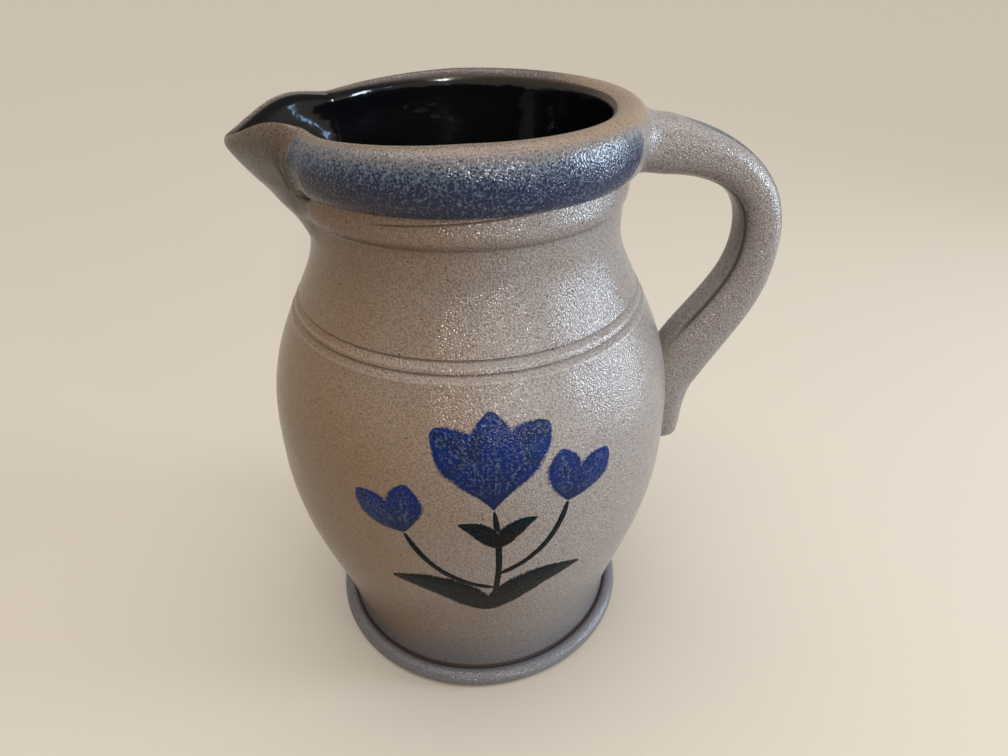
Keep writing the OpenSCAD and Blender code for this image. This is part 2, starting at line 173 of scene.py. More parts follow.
class Nodes:
    """Builds one node tree. A value is a number, several numbers or another node's output."""

    def __init__(self, tree):
        self.tree = tree

    def add(self, kind, inputs=None, **settings):
        """A node with its settings made and its inputs set or linked, by name or by place."""
        node = self.tree.nodes.new(kind)
        for name, value in settings.items():
            setattr(node, name, value)
        for socket, value in (inputs or {}).items():
            if isinstance(value, bpy.types.NodeSocket):
                self.tree.links.new(value, node.inputs[socket])
            else:
                node.inputs[socket].default_value = value
        return node

    def math(self, operation, *values):
        """Arithmetic on one, two or three values."""
        return self.add("ShaderNodeMath", dict(enumerate(values)), operation=operation).outputs[0]

    def vector(self, x, y, z):
        """A vector from three values."""
        return self.add("ShaderNodeCombineXYZ", {"X": x, "Y": y, "Z": z}).outputs[0]

    def split(self, vector):
        """The three values of a vector."""
        return self.add("ShaderNodeSeparateXYZ", {"Vector": vector}).outputs[:3]

    def noise(self, vector, scale, detail=2.0):
        """Smooth noise from 0 to 1."""
        inputs = {"Vector": vector, "Scale": scale, "Detail": detail}
        return self.add("ShaderNodeTexNoise", inputs).outputs[0]

    def ramp(self, value, low, high):
        """A value that eases from 0 at low to 1 at high."""
        inputs = {"Value": value, 1: low, 2: high}
        return self.add("ShaderNodeMapRange", inputs, interpolation_type="SMOOTHSTEP").outputs[0]

    def blend(self, share, a, b):
        """A colour between two, a where the share is 0 and b where it is 1."""
        inputs = {0: share, 6: rgba(a), 7: rgba(b)}
        return self.add("ShaderNodeMix", inputs, data_type="RGBA").outputs[2]

    def attribute(self, name):
        """A value that the piece's own mesh carries."""
        return self.add("ShaderNodeAttribute", attribute_name=name).outputs["Fac"]


def rgba(value):
    """A colour with its alpha, or a node's output as it is."""
    if isinstance(value, bpy.types.NodeSocket):
        return value
    return (*value[:3], 1.0)


# Materials

class Glazed(Nodes):
    """Nodes of one glazed material, on coordinates in millimetres."""

    def __init__(self, name):
        self.material = bpy.data.materials.new(name)
        self.material.use_nodes = True
        super().__init__(self.material.node_tree)
        self.tree.nodes.clear()
        place = self.add("ShaderNodeTexCoord").outputs["Object"]
        scaled = self.add("ShaderNodeVectorMath", {0: place, "Scale": 1 / MM}, operation="SCALE")
        self.place = scaled.outputs[0]
        self.x, _, self.z = self.split(self.place)

    def pebbles(self, scale=1.4):
        """Rounded pebbles of the salt glaze, high in their middles."""
        inputs = {"Vector": self.place, "Scale": scale, "Smoothness": 0.3}
        cells = self.add("ShaderNodeTexVoronoi", inputs, feature="SMOOTH_F1").outputs["Distance"]
        return self.math("SUBTRACT", 1.0, cells)

    def specks(self):
        """Iron specks, 1 in the middle of a speck."""
        cells = self.add("ShaderNodeTexVoronoi", {"Vector": self.place, "Scale": 0.34})
        size = self.math("MULTIPLY_ADD", cells.outputs["Color"], 0.10, 0.05)
        far = self.ramp(cells.outputs["Distance"], self.math("MULTIPLY", size, 0.5), size)
        return self.math("SUBTRACT", 1.0, far)

    def throwing_lines(self):
        """Fine level lines that the potter's rib leaves."""
        flat = {0: self.place, 1: (0.015, 0.015, 1.0)}
        return self.noise(self.add("ShaderNodeVectorMath", flat, operation="MULTIPLY").outputs[0], 0.8, 3.0)

    def finish(self, base, roughness, height, depth, gloss=0.5):
        """Ends the material in a glazed shader whose bump is depth deep, in millimetres."""
        bump = self.add("ShaderNodeBump", {"Height": height, "Distance": depth * MM, "Strength": 1.0})
        shader = self.add("ShaderNodeBsdfPrincipled", {
            "Base Color": base, "Roughness": roughness, "Normal": bump.outputs[0]})
        shader.inputs["Specular IOR Level"].default_value = gloss
        self.add("ShaderNodeOutputMaterial", {"Surface": shader.outputs[0]})
        return self.material


# Where the clay's tones begin and are full, in millimetres, and how far they stray: the tan towards the
# spout, which is partly kiln flashing and partly painted warm bounce light, the painted shade low on the
# body, and the bare lip
FLASH_AND_BOUNCE_FROM_X = 0.0
FLASH_AND_BOUNCE_FULL_X = -85.0
FLASH_AND_BOUNCE_STRAY = -60.0
LOW_FROM_Z = 48.0
LOW_FULL_Z = 16.0
LOW_STRAY = 20.0
BARE_FROM_Z = 216.5
BARE_FULL_Z = 219.5
BARE_STRAY = 3.0


def clay_look(n, c):
    """Colour, roughness and height of the salt-glazed clay, with what the mesh says of pooled and broken
    glaze with painted shade and highlights, and of toasting with painted shade.
    """
    pebbles = n.pebbles()
    patches = n.noise(n.place, 0.03, 3.0)
    # Painted warm bounce light with kiln flashing: the clay turns tan towards the spout's side
    flash_and_bounce = n.ramp(n.math("MULTIPLY_ADD", patches, FLASH_AND_BOUNCE_STRAY, n.x), FLASH_AND_BOUNCE_FROM_X, FLASH_AND_BOUNCE_FULL_X)
    tone = n.blend(flash_and_bounce, c.clay, c.clay_flash_and_bounce)
    # Painted shade: darker and cooler towards the bottom of the body and on the foot
    low = n.ramp(n.math("MULTIPLY_ADD", patches, LOW_STRAY, n.z), LOW_FROM_Z, LOW_FULL_Z)
    tone = n.blend(n.math("MULTIPLY", low, 0.85), tone, c.clay_low_shade)
    bare = n.math("MULTIPLY_ADD", n.noise(n.place, 0.25), BARE_STRAY, n.z)
    bare = n.ramp(bare, BARE_FROM_Z, BARE_FULL_Z)
    tone = n.blend(bare, tone, c.clay_bare)
    grain = n.math("MULTIPLY_ADD", n.noise(n.place, 2.0, 3.0), 0.7, n.math("MULTIPLY", pebbles, 0.3))
    tone = n.blend(n.math("MULTIPLY", n.ramp(grain, 0.6, 0.4), 0.62), tone, c.clay_deep)
    # The pool value darkens where glaze gathers and painted shade lies in creases, and lightens, below 0,
    # where glaze breaks and a painted highlight lies on ridges
    pool = n.attribute("pool")
    tone = n.blend(n.ramp(n.math("MULTIPLY_ADD", grain, 0.6, pool), 0.35, 1.25), tone, c.pooled_glaze_and_shade)
    tone = n.blend(n.ramp(pool, -0.15, -0.9), tone, c.broken_glaze_and_highlight)
    # Toasted speckle, strengthened as painted shade on the spout's sides and the far lip
    toast_and_shade = n.ramp(n.math("MULTIPLY_ADD", grain, 2.5, n.attribute("stain")), 1.5, 2.2)
    tone = n.blend(toast_and_shade, tone, c.clay_toast_and_shade)
    tone = n.blend(n.specks(), tone, c.iron)
    roughness = n.math("MULTIPLY_ADD", patches, 0.12, 0.11)
    smooth = n.ramp(n.math("ABSOLUTE", pool), 1.0, 0.45)
    height = n.math("MULTIPLY_ADD", n.throwing_lines(), 0.2, n.math("MULTIPLY", pebbles, smooth))
    return tone, roughness, height


def clay_material(c):
    """Salt-glazed clay."""
    n = Glazed("salt-glazed clay")
    tone, roughness, height = clay_look(n, c)
    return n.finish(tone, roughness, height, 0.19, 0.4)


def band_material(c):
    """Cobalt brushed round the collar, faded where the mesh's paint value falls."""
    n = Glazed("cobalt wash")
    clay, roughness, height = clay_look(n, c)
    pebbles = n.math("MULTIPLY", n.pebbles(1.3), 0.4)
    vein = n.math("SUBTRACT", n.math("MULTIPLY_ADD", n.noise(n.place, 1.6, 2.0), 0.6, pebbles), 0.52)
    paint = n.attribute("paint")
    deep = n.ramp(n.math("MULTIPLY_ADD", vein, 2.8, n.math("MULTIPLY", paint, 0.75)), -0.2, 0.85)
    blue = n.blend(deep, c.cobalt_pale, c.cobalt)
    # Painted shade: the roll's lower side towards the spout is darkened to brown
    spout_side = n.ramp(n.math("MULTIPLY_ADD", vein, -30.0, n.x), 5.0, -55.0)
    brown = n.math("MULTIPLY", spout_side, n.ramp(n.z, 213.0, 203.0))
    blue = n.blend(n.math("MULTIPLY", brown, 0.85), blue, c.pooled_glaze_and_shade)
    clay = n.blend(0.2, clay, c.clay)
    tone = n.blend(n.ramp(n.math("MULTIPLY_ADD", vein, 0.7, paint), -0.05, 0.65), clay, blue)
    return n.finish(tone, n.math("MULTIPLY", roughness, 0.65), height, 0.15, 0.36)


def slip_material(name, c, deep, foot, pale, pale_share, gloss):
    """Slip laid by a loaded brush: dark at its edges and its foot, thinner and speckled in its middle."""
    n = Glazed(name)
    clay, roughness, height = clay_look(n, c)
    across = n.attribute("across")
    along = n.attribute("along")
    edge = n.math("ABSOLUTE", across)
    mottle = n.noise(n.place, 1.1, 3.0)
    hairs = n.vector(n.math("MULTIPLY", across, 6.0), n.math("MULTIPLY", along, 1.5), 0.0)
    speckle = n.math("MULTIPLY_ADD", mottle, 0.7, n.math("MULTIPLY", n.noise(hairs, 1.0), 0.3))
    thin = n.math("MULTIPLY", n.ramp(edge, 0.95, 0.2), n.ramp(along, 0.05, 0.35))
    share = n.math("MULTIPLY", n.math("MULTIPLY", thin, n.ramp(speckle, 0.47, 0.64)), pale_share)
    loaded = n.ramp(n.math("MULTIPLY_ADD", speckle, 0.5, along), 0.95, 0.25)
    puddles = n.math("MULTIPLY", n.ramp(n.noise(n.place, 0.2, 1.0), 0.48, 0.66), 0.8)
    tone = n.blend(share, n.blend(n.math("MAXIMUM", loaded, puddles), deep, foot), pale)
    worn = n.ramp(n.math("MULTIPLY_ADD", mottle, 0.4, edge), 1.02, 1.24)
    return n.finish(n.blend(worn, tone, clay), roughness, height, 0.16, gloss)


def liner_material(c):
    """Black liner glaze, brown where it breaks over the lip."""
    n = Glazed("liner glaze")
    ripple = n.noise(n.place, 0.16, 2.0)
    edge = n.math("MULTIPLY_ADD", n.math("SUBTRACT", n.noise(n.place, 0.9), 0.5), 0.3, n.attribute("edge"))
    share = n.ramp(edge, 0.1, 0.9)
    tone = n.blend(share, c.liner, c.liner_edge)
    roughness = n.math("MULTIPLY_ADD", share, 0.4, 0.09)
    return n.finish(tone, roughness, ripple, 0.16)


# Meshes

# Edges that turn further than this stay sharp
SHARP_TURN = math.radians(55)


def ease(t):
    """Runs from 0 to 1 with level ends."""
    return t * t * (3 - 2 * t)


def mix(a, b, t):
    """The value a share t of the way from a to b."""
    return a + (b - a) * t


def hump(x, middle, width):
    """A smooth hump of height 1."""
    return np.exp(-((x - middle) / width) ** 2)


def smooth_through(x, places, values):
    """A smooth curve through values at rising places."""
    places, values = np.asarray(places, float), np.asarray(values, float)
    slopes = np.gradient(values, places)
    x = np.clip(x, places[0], places[-1])
    i = np.clip(np.searchsorted(places, x) - 1, 0, len(places) - 2)
    gap = places[i + 1] - places[i]
    t = (x - places[i]) / gap
    bend = slopes[i] * t * (1 - t) ** 2 - slopes[i + 1] * t * t * (1 - t)
    return mix(values[i], values[i + 1], ease(t)) + gap * bend


def mark_points(mesh, shape, values):
    """Writes named values on a mesh's points, which are laid out in a shape."""
    for label, value in values.items():
        spread = np.broadcast_to(value, shape).astype(np.float32)
        mesh.attributes.new(label, "FLOAT", "POINT").data.foreach_set("value", spread.ravel())


def skin_mesh(name, rings, **values):
    """A closed mesh over rings of points, capped at both ends, with values on its points."""
    count, size = rings.shape[:2]
    here = np.arange(size)
    after = (here + 1) % size
    faces = [tuple(range(size - 1, -1, -1))]
    for i in range(count - 1):
        a, b = i * size, (i + 1) * size
        faces += list(zip(a + here, a + after, b + after, b + here))
    faces.append(tuple(range((count - 1) * size, count * size)))
    mesh = bpy.data.meshes.new(name)
    mesh.from_pydata(rings.reshape(-1, 3), [], faces)
    mark_points(mesh, rings.shape[:2], values)
    face_outward(mesh)
    return mesh


def face_outward(mesh):
    """Turns a closed mesh whose faces point inwards."""
    form = bmesh.new()
    form.from_mesh(mesh)
    if form.calc_volume(signed=True) < 0:
        bmesh.ops.reverse_faces(form, faces=form.faces)
    form.to_mesh(mesh)
    form.free()


def link_object(name, data):
    """A new object in the scene."""
    made = bpy.data.objects.new(name, data)
    bpy.context.scene.collection.objects.link(made)
    return made


def place_piece(name, mesh, material, slot, *nodes):
    """A finished piece that stands for CAD nodes."""
    if material.name not in mesh.materials:
        mesh.materials.append(material)
    mesh.shade_smooth()
    mesh.set_sharp_from_angle(angle=SHARP_TURN)
    piece = link_object(name, mesh)
    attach(piece, "root")
    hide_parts(*nodes)


FINISHES = {}


def material_for(key):
    """A finish by its key, made on first use from the scene's colours."""
    c = bpy.context.scene.pitcher_colours
    makers = {
        "clay": lambda: clay_material(c),
        "band": lambda: band_material(c),
        "liner": lambda: liner_material(c),
        "petal": lambda: slip_material("cobalt petals", c, c.petal, c.cobalt, c.cobalt_pale, 0.5, 0.15),
        "leaf": lambda: slip_material("leaf slip", c, c.leaf, c.leaf_brown, c.clay_deep, 0.15, 0.06),
    }
    if key not in FINISHES:
        FINISHES[key] = makers[key]()
    return FINISHES[key]


# Node trees

def open_tree(name, **inputs):
    """A geometry node tree with named inputs after its geometry, given by their socket kinds."""
    tree = bpy.data.node_groups.new(name, "GeometryNodeTree")
    tree.is_modifier = True
    tree.interface.new_socket("Geometry", in_out="INPUT", socket_type="NodeSocketGeometry")
    tree.interface.new_socket("Geometry", in_out="OUTPUT", socket_type="NodeSocketGeometry")
    for label, kind in inputs.items():
        tree.interface.new_socket(label.replace("_", " "), in_out="INPUT", socket_type="NodeSocket" + kind)
    n = Nodes(tree)
    return n, n.add("NodeGroupInput").outputs


def close_tree(n, geometry, material):
    """Ends a tree in plain geometry with its material."""
    real = n.add("GeometryNodeRealizeInstances", {"Geometry": geometry}).outputs[0]
    dressed = n.add("GeometryNodeSetMaterial", {"Geometry": real, "Material": material}).outputs[0]
    n.add("NodeGroupOutput", {"Geometry": dressed})
    return n.tree


def run_tree(tree, mesh, **values):
    """The plain mesh that a tree makes of a mesh."""
    holder = link_object(mesh.name, mesh)
    modifier = holder.modifiers.new(tree.name, "NODES")
    modifier.node_group = tree
    sockets = {item.name: item.identifier for item in tree.interface.items_tree if item.in_out == "INPUT"}
    for label, value in values.items():
        modifier[sockets[label.replace("_", " ")]] = value
    graph = bpy.context.evaluated_depsgraph_get()
    made = bpy.data.meshes.new_from_object(
        holder.evaluated_get(graph), preserve_all_data_layers=True, depsgraph=graph)
    if not made.polygons:
        raise RuntimeError(f"{tree.name} made nothing of {mesh.name}")
    bpy.data.objects.remove(holder)
    bpy.data.meshes.remove(mesh)
    return made


TREES = {}


def shared_tree(maker):
    """A node tree, made on first use."""
    if maker not in TREES:
        TREES[maker] = maker()
    return TREES[maker]


def wheel_tree():
    """Turns a profile round the axis, with throwing rings and a slow wobble where it is thrown."""
    n, given = open_tree(
        "Throw on the wheel", Segments="Int", Ring_depth="Float", Ring_spacing="Float", Wobble="Float",
        Seed="Float", Material="Material")
    profile = given["Geometry"]
    count = n.add("GeometryNodeAttributeDomainSize", {0: profile}).outputs["Point Count"]
    row = n.math("ADD", given["Segments"], 1.0)
    grid = n.add("GeometryNodeMeshGrid", {"Vertices X": count, "Vertices Y": row}).outputs["Mesh"]
    index = n.add("GeometryNodeInputIndex").outputs[0]
    ring = n.math("FLOOR", n.math("DIVIDE", n.math("ADD", index, 0.5), row))
    step = n.math("SUBTRACT", index, n.math("MULTIPLY", ring, row))
    place = n.add("GeometryNodeInputPosition").outputs[0]
    point = n.add("GeometryNodeSampleIndex", {"Geometry": profile, "Value": place, "Index": ring},
                  data_type="FLOAT_VECTOR").outputs[0]

    def along_profile(name):
        """A value of the profile, on each point of its ring."""
        mark = n.add("GeometryNodeInputNamedAttribute", {"Name": name}, data_type="FLOAT").outputs[0]
        inputs = {"Geometry": profile, "Value": mark, "Index": ring}
        return n.add("GeometryNodeSampleIndex", inputs, data_type="FLOAT").outputs[0]

    thrown = along_profile("thrown")
    # Clockwise, so that a profile that rises on the outside faces outwards
    angle = n.math("MULTIPLY", n.math("DIVIDE", step, given["Segments"]), -2 * math.pi)
    radius, _, height = n.split(point)
    cos = n.math("COSINE", angle)
    sin = n.math("SINE", angle)

    def mark_noise(turn_scale, level):
        """Noise round the axis, mostly from -1 to 0, so that marks go inwards."""
        vector = n.vector(n.math("MULTIPLY", cos, turn_scale), n.math("MULTIPLY", sin, turn_scale), level)
        inputs = {"Vector": vector, "W": given["Seed"], "Scale": 1.0, "Detail": 1.0}
        noise = n.add("ShaderNodeTexNoise", inputs, noise_dimensions="4D").outputs[0]
        return n.math("MULTIPLY_ADD", noise, 2.0, -1.6)

    rings = mark_noise(0.35, n.math("DIVIDE", height, given["Ring spacing"]))
    sway = mark_noise(0.8, n.math("DIVIDE", height, n.math("MULTIPLY", given["Ring spacing"], 12.0)))
    marks = n.math("MULTIPLY_ADD", rings, given["Ring depth"], n.math("MULTIPLY", sway, given["Wobble"]))
    radius = n.math("MULTIPLY_ADD", marks, thrown, radius)
    turned = n.vector(n.math("MULTIPLY", radius, cos), n.math("MULTIPLY", radius, sin), height)
    marked = n.add("GeometryNodeStoreNamedAttribute", {
        "Geometry": grid, "Name": "pool", "Value": along_profile("pool")}, data_type="FLOAT", domain="POINT")
    form = n.add("GeometryNodeSetPosition", {"Geometry": marked.outputs[0], "Position": turned}).outputs[0]
    whole = n.add("GeometryNodeMergeByDistance", {"Geometry": form, "Distance": 0.002 * MM}).outputs[0]
    return close_tree(n, whole, given["Material"])


def brush_tree():
    """Lays flat brush strokes on a clay form from the painted side and gives them their thickness."""
    n, given = open_tree("Brush on clay", Clay="Object", Thickness="Float", Sink="Float", Material="Material")
    clay = n.add("GeometryNodeObjectInfo", {"Object": given["Clay"]}).outputs["Geometry"]
    x, _, z = n.split(n.add("GeometryNodeInputPosition").outputs[0])
    start = n.vector(x, -1.0, z)
    ray = n.add("GeometryNodeRaycast", {
        "Target Geometry": clay, "Source Position": start, "Ray Direction": (0, 1, 0), "Ray Length": 1.0})
    lift = n.add("GeometryNodeInputNamedAttribute", {"Name": "lift"}, data_type="FLOAT").outputs[0]
    rise = n.math("SUBTRACT", n.math("MULTIPLY", lift, given["Thickness"]), given["Sink"])
    offset = n.add("ShaderNodeVectorMath", {0: ray.outputs["Hit Normal"], "Scale": rise}, operation="SCALE")
    laid = n.add("GeometryNodeSetPosition", {
        "Geometry": given["Geometry"], "Position": ray.outputs["Hit Position"], "Offset": offset.outputs[0]})
    return close_tree(n, laid.outputs[0], given["Material"])


# The thrown body, its foot and its inside

# Powers that fill out the wall's curve under and over the belly
BELLY_FILL = 1.18
SHOULDER_FILL = 1.52
# Section of a scribed line: places below its upper edge, in millimetres, and shares of its depth
LINE_BELOW = (-0.35, 0, 0.3, 1.1, 2.0, 2.6, 3.6)
LINE_CUT = (0, -1, -1.05, -0.45, 0.15, 0.15, 0)
# Turns of the foot roll's section that are seen, and the share of its overhang that they round
FOOT_FROM = -70
FOOT_TO = 132
FOOT_ROUND = 0.6
# Heights over which the throwing rings fade
FADE_FOOT = 20 * MM
FADE_NECK = 12 * MM
FADE_LINER = 15 * MM
# Marks of the foot and the liner where they differ from the wall's
FOOT_RING_DEPTH = 0.15 * MM
FOOT_WOBBLE = 0.25 * MM
LINER_RING_DEPTH = 0.25 * MM
LINER_RING_SPACING = 9 * MM
# Steps round the axis, and seeds of the throwing marks
WALL_SEGMENTS = 240
LINER_SEGMENTS = 192
WALL_SEED = 3.0
FOOT_SEED = 8.0
LINER_SEED = 5.0


def wall_radius(s, z):
    """Outside radius of the thrown wall."""
    low = np.clip((s.belly_z - z) / (s.belly_z - s.foot_h), 0, 1) ** BELLY_FILL
    high = np.clip((z - s.belly_z) / (s.neck_z - s.belly_z), 0, 1) ** SHOULDER_FILL
    return s.belly_r - (s.belly_r - s.waist_r) * ease(low) - (s.belly_r - s.neck_r) * ease(high)


def scribed(s, z):
    """Cut of the two scribed lines, a sharp drop that slopes out to a ridge, and the glaze that it pools,
    with painted shade in the drop and a painted highlight on the ridge.
    """
    cut, pool = 0, 0
    for line in (s.line_z, s.line_z - s.line_gap):
        below = (line - z) / MM
        cut += s.line_depth * np.interp(below, LINE_BELOW, LINE_CUT)
        # Pooled glaze and painted shade in the drop, a tan bevel, and a painted highlight with broken glaze
        # on the ridge
        pool += 0.7 * hump(below, 0, 0.3) + 0.2 * hump(below, 0.9, 0.7) - 0.4 * hump(below, 2.2, 0.6)
    return cut, pool


def ring_share(z, foot, top, fade):
    """Where a wall takes throwing rings, which fade at its foot and its top."""
    return np.clip((top - z) / fade, 0, 1) * np.clip((z - foot) / FADE_FOOT, 0, 1)


def inside_profile(s, out):
    """The body's inside from the floor's centre up to the neck, moved out by a distance."""
    corner = s.floor_t + s.floor_round
    a = np.linspace(0, math.pi / 2, 12)
    r = wall_radius(s, corner) - s.wall_t + out
    z = np.linspace(corner, s.neck_z, 60)[1:]
    return np.concatenate([
        [[0, s.floor_t - out]],
        np.stack([r - s.floor_round * (1 - np.sin(a)), corner - (s.floor_round + out) * np.cos(a)], 1),
        np.stack([wall_radius(s, z) - s.wall_t + out, z], 1)])


def profile_mesh(name, points, **values):
    """A profile of radius and height, with values on its points."""
    mesh = bpy.data.meshes.new(name)
    r, z = points.T
    steps = np.arange(len(points) - 1)
    mesh.from_pydata(np.stack([r, 0 * r, z], 1), np.stack([steps, steps + 1], 1), [])
    mark_points(mesh, len(points), values)
    return mesh


def throw(name, points, thrown, pool, key, segments, seed, **marks):
    """The mesh of a turned piece, from its profile and where that takes throwing marks, and pooled glaze with
    painted shade.
    """
    s = bpy.context.scene.pitcher_sizes
    values = {"Ring_depth": s.ring_depth, "Ring_spacing": s.ring_spacing, "Wobble": s.wobble}
    values.update(marks)
    return run_tree(shared_tree(wheel_tree), profile_mesh(name, points, thrown=thrown, pool=pool),
                    Segments=segments, Seed=seed, Material=material_for(key), **values)


class PITCHER_OT_throw_body(bpy.types.Operator):
    """Throw the body with its scribed lines and roll its foot"""
    bl_idname = "pitcher.throw_body"
    bl_label = "Throw body"

    def execute(self, context):
        s = context.scene.pitcher_sizes
        line_top = s.line_z + 1 * MM
        line_foot = s.line_z - 2.2 * s.line_gap
        z = np.concatenate([
            np.linspace(0, line_foot, 100, endpoint=False),
            np.linspace(line_foot, line_top, 64, endpoint=False),
            np.linspace(line_top, s.neck_z, 22)])
        cut, line_pool_and_light = scribed(s, z)
        outside = np.stack([wall_radius(s, z) + cut, z], 1)
        inside = inside_profile(s, 0)[::-4]
        points = np.concatenate([[[0, 0]], outside, inside])
        thrown, pool = np.zeros((2, len(points)))
        thrown[1:len(z) + 1] = ring_share(z, 0, s.neck_z, FADE_NECK)
        # The scribed lines' marks, and painted shade with pooled glaze in the crease above the foot roll
        pool[1:len(z) + 1] = line_pool_and_light + 0.8 * hump(z, s.foot_h, 1.5 * MM)
        mesh = throw("thrown_wall", points, thrown, pool, "clay", WALL_SEGMENTS, WALL_SEED)
        place_piece("thrown_wall", mesh, material_for("clay"), "stoneware", "thrown_body")

        a = np.radians(np.linspace(FOOT_FROM, FOOT_TO, 28))
        out = s.foot_r - s.waist_r
        roll_r = s.foot_r - FOOT_ROUND * out * (1 - np.cos(a))
        roll = np.stack([roll_r, s.foot_h / 2 * (1 + np.sin(a))], 1)
        hidden = s.waist_r - 1 * MM
        points = np.concatenate([[[hidden, 0]], roll, [[hidden, roll[-1, 1]], [hidden, 0]]])
        thrown = np.concatenate([[0], np.clip(roll[:, 1] / (3 * MM), 0, 1), [0, 0]])
        # Painted shade with pooled glaze where the foot roll meets the wall and where it meets the floor
        pool = np.concatenate([[0], 0.8 * hump(a, a[-1], 0.5) + 0.6 * hump(a, a[0], 0.4), [0, 0]])
        mesh = throw("rolled_foot", points, thrown, pool, "clay", WALL_SEGMENTS, FOOT_SEED,
                     Ring_depth=FOOT_RING_DEPTH, Wobble=FOOT_WOBBLE)
        place_piece("rolled_foot", mesh, material_for("clay"), "stoneware", "foot_ring")
        return {"FINISHED"}


# The collar, drawn out into the spout

# Angles from the spout's middle, in degrees
KEEL_ROUND = 2.5
SPOUT_CUT = 34
ROLL_FROM = 6
ROLL_FULL = 40
RIDGE_NEAR = 24
RIDGE_AT = 25.7
RIDGE_LEAN = 4.2
PINCH_AT = 29.5
PINCH_WIDTH = 3.2
WING_AT = 19.8
WING_LEAN = 2.2
WING_WIDTH = 9.9
FOLD_FROM = 56
FOLD_TO = 114
BEAD_FROM = 22
BEAD_FADE = 120
TOAST_END = 40
# Depths under the crease, in millimetres: the pinch, the fold at its middle, and the fold's slant per degree
PINCH_BELOW = 1.8
FOLD_BELOW = 1.2
FOLD_SLANT = 0.062
# Section of the bead: depths under the crease, in millimetres, and shares of how far it stands out
BEAD_BELOW = (0, 1.5, 3.0, 5.0, 6.5, 8.0, 9.3, 10.2, 11.5)
BEAD_SHARE = (0, 0.35, 0.62, 0.92, 1.0, 0.9, 0.55, 0.18, 0)
# Edge of the liner glaze: angles from the spout's middle, and millimetres along a section from its lip
GLAZE_TURN = (0, 40, 90, 150, 180)
GLAZE_BELOW = (0.4, 0.5, 2.2, 3.8, 4.0)
# How much narrower the mouth is at the handle
MOUTH_SHIFT = 3.5 * MM
# Shares and powers of the nose, the roll, the keel and the spout's ends
NOSE_FROM = 0.72
ROLL_POWER = 2.4
KEEL_FILL = 0.15
KEEL_POWER = 4
SPOUT_SOFT = 0.05
# Rows of a section, and how much closer the neck's lie under the crease
NECK_STEPS = 72
ROLL_STEPS = 40
LIP_STEPS = 10
THROAT_STEPS = 18
ROLL_AT = NECK_STEPS
LIP_AT = ROLL_AT + ROLL_STEPS + 1
NECK_CROWD = 1.8


def spout_share(s, d):
    """1 at the spout's tip, falling in straight sides to 0 where the spout ends. Angles in degrees."""
    def fold(a):
        return np.sqrt(a * a + KEEL_ROUND ** 2) - KEEL_ROUND
    share = 1 - fold(d) / fold(math.degrees(s.spout_turn))
    return (share + np.sqrt(share ** 2 + SPOUT_SOFT ** 2)) / 2


def neck_fold(s, z, d):
    """How near a height is to the fold that runs slantwise under the crease, and how far above it."""
    fold_z = s.crease_z + (-FOLD_BELOW + FOLD_SLANT * (d - 90)) * MM
    ends = np.clip((d - FOLD_FROM) / 8, 0, 1) * np.clip((FOLD_TO - d) / 6, 0, 1)
    above = ease(np.clip((z - fold_z) / (0.5 * MM), 0, 1)) * np.clip((s.crease_z - z) / (0.8 * MM), 0, 1)
    return hump(z, fold_z, 0.25 * MM) * ends, above * ends


def neck_bead(s, z, d):
    """The bead pressed up under the crease, with its fold. It is low on the spout and near the handle."""
    depth = (s.crease_z - z) / MM
    bead = s.bead_out * smooth_through(depth, BEAD_BELOW, BEAD_SHARE)
    keel = 0.3 * s.bead_out * hump(depth, 8, 3.2)
    bead = mix(keel, bead, ease(np.clip((d - BEAD_FROM) / 12, 0, 1)))
    bead = bead * mix(1, 0.4, ease(np.clip((d - BEAD_FADE) / 45, 0, 1)))
    fold, above = neck_fold(s, z, d)
    return bead - 0.45 * MM * fold + 0.3 * MM * above


def roll_ridge(k):
    """Angle of the ridge at the collar roll's end, and how strongly it is marked. k is 0 at the crease."""
    return RIDGE_AT + RIDGE_LEAN * k, np.clip(1.35 - 1.75 * k, 0, 1)


def roll_end(k, d):
    """Share of the collar roll, which fades out on the spout's sides, and the ridge and groove at its end."""
    ridge, depth = roll_ridge(k)
    share = ease(np.clip((d - ROLL_FROM) / (ROLL_FULL - ROLL_FROM), 0, 1))
    mark = 0.6 * hump(d, ridge + 0.2, 0.8) - 0.7 * hump(d, ridge - 1.6, 1.0)
    return share, mark * depth * MM


def lip_wave(s, delta):
    """How far the lip's top lies from its height at the handle. Its wings lean to the painted side."""
    d = from_spout(delta)
    middle = WING_AT - WING_LEAN * np.tanh(np.sin(delta) * 7)[:, None]
    sag = s.lip_sag * np.maximum(0, np.cos(np.radians(d))) ** 1.2
    return s.spout_wing * hump(d, middle, WING_WIDTH) - sag


def collar_rows():
    """Shares of the neck's and the roll's rows on their way up."""
    neck = 1 - (1 - np.arange(NECK_STEPS) / NECK_STEPS) ** NECK_CROWD
    roll = (1 - np.cos(math.pi * np.arange(ROLL_STEPS + 1) / ROLL_STEPS)) / 2
    return neck, roll


def from_spout(delta):
    """Angles from the spout's middle in degrees, as a column."""
    return np.degrees(np.abs((delta + math.pi) % (2 * math.pi) - math.pi))[:, None]


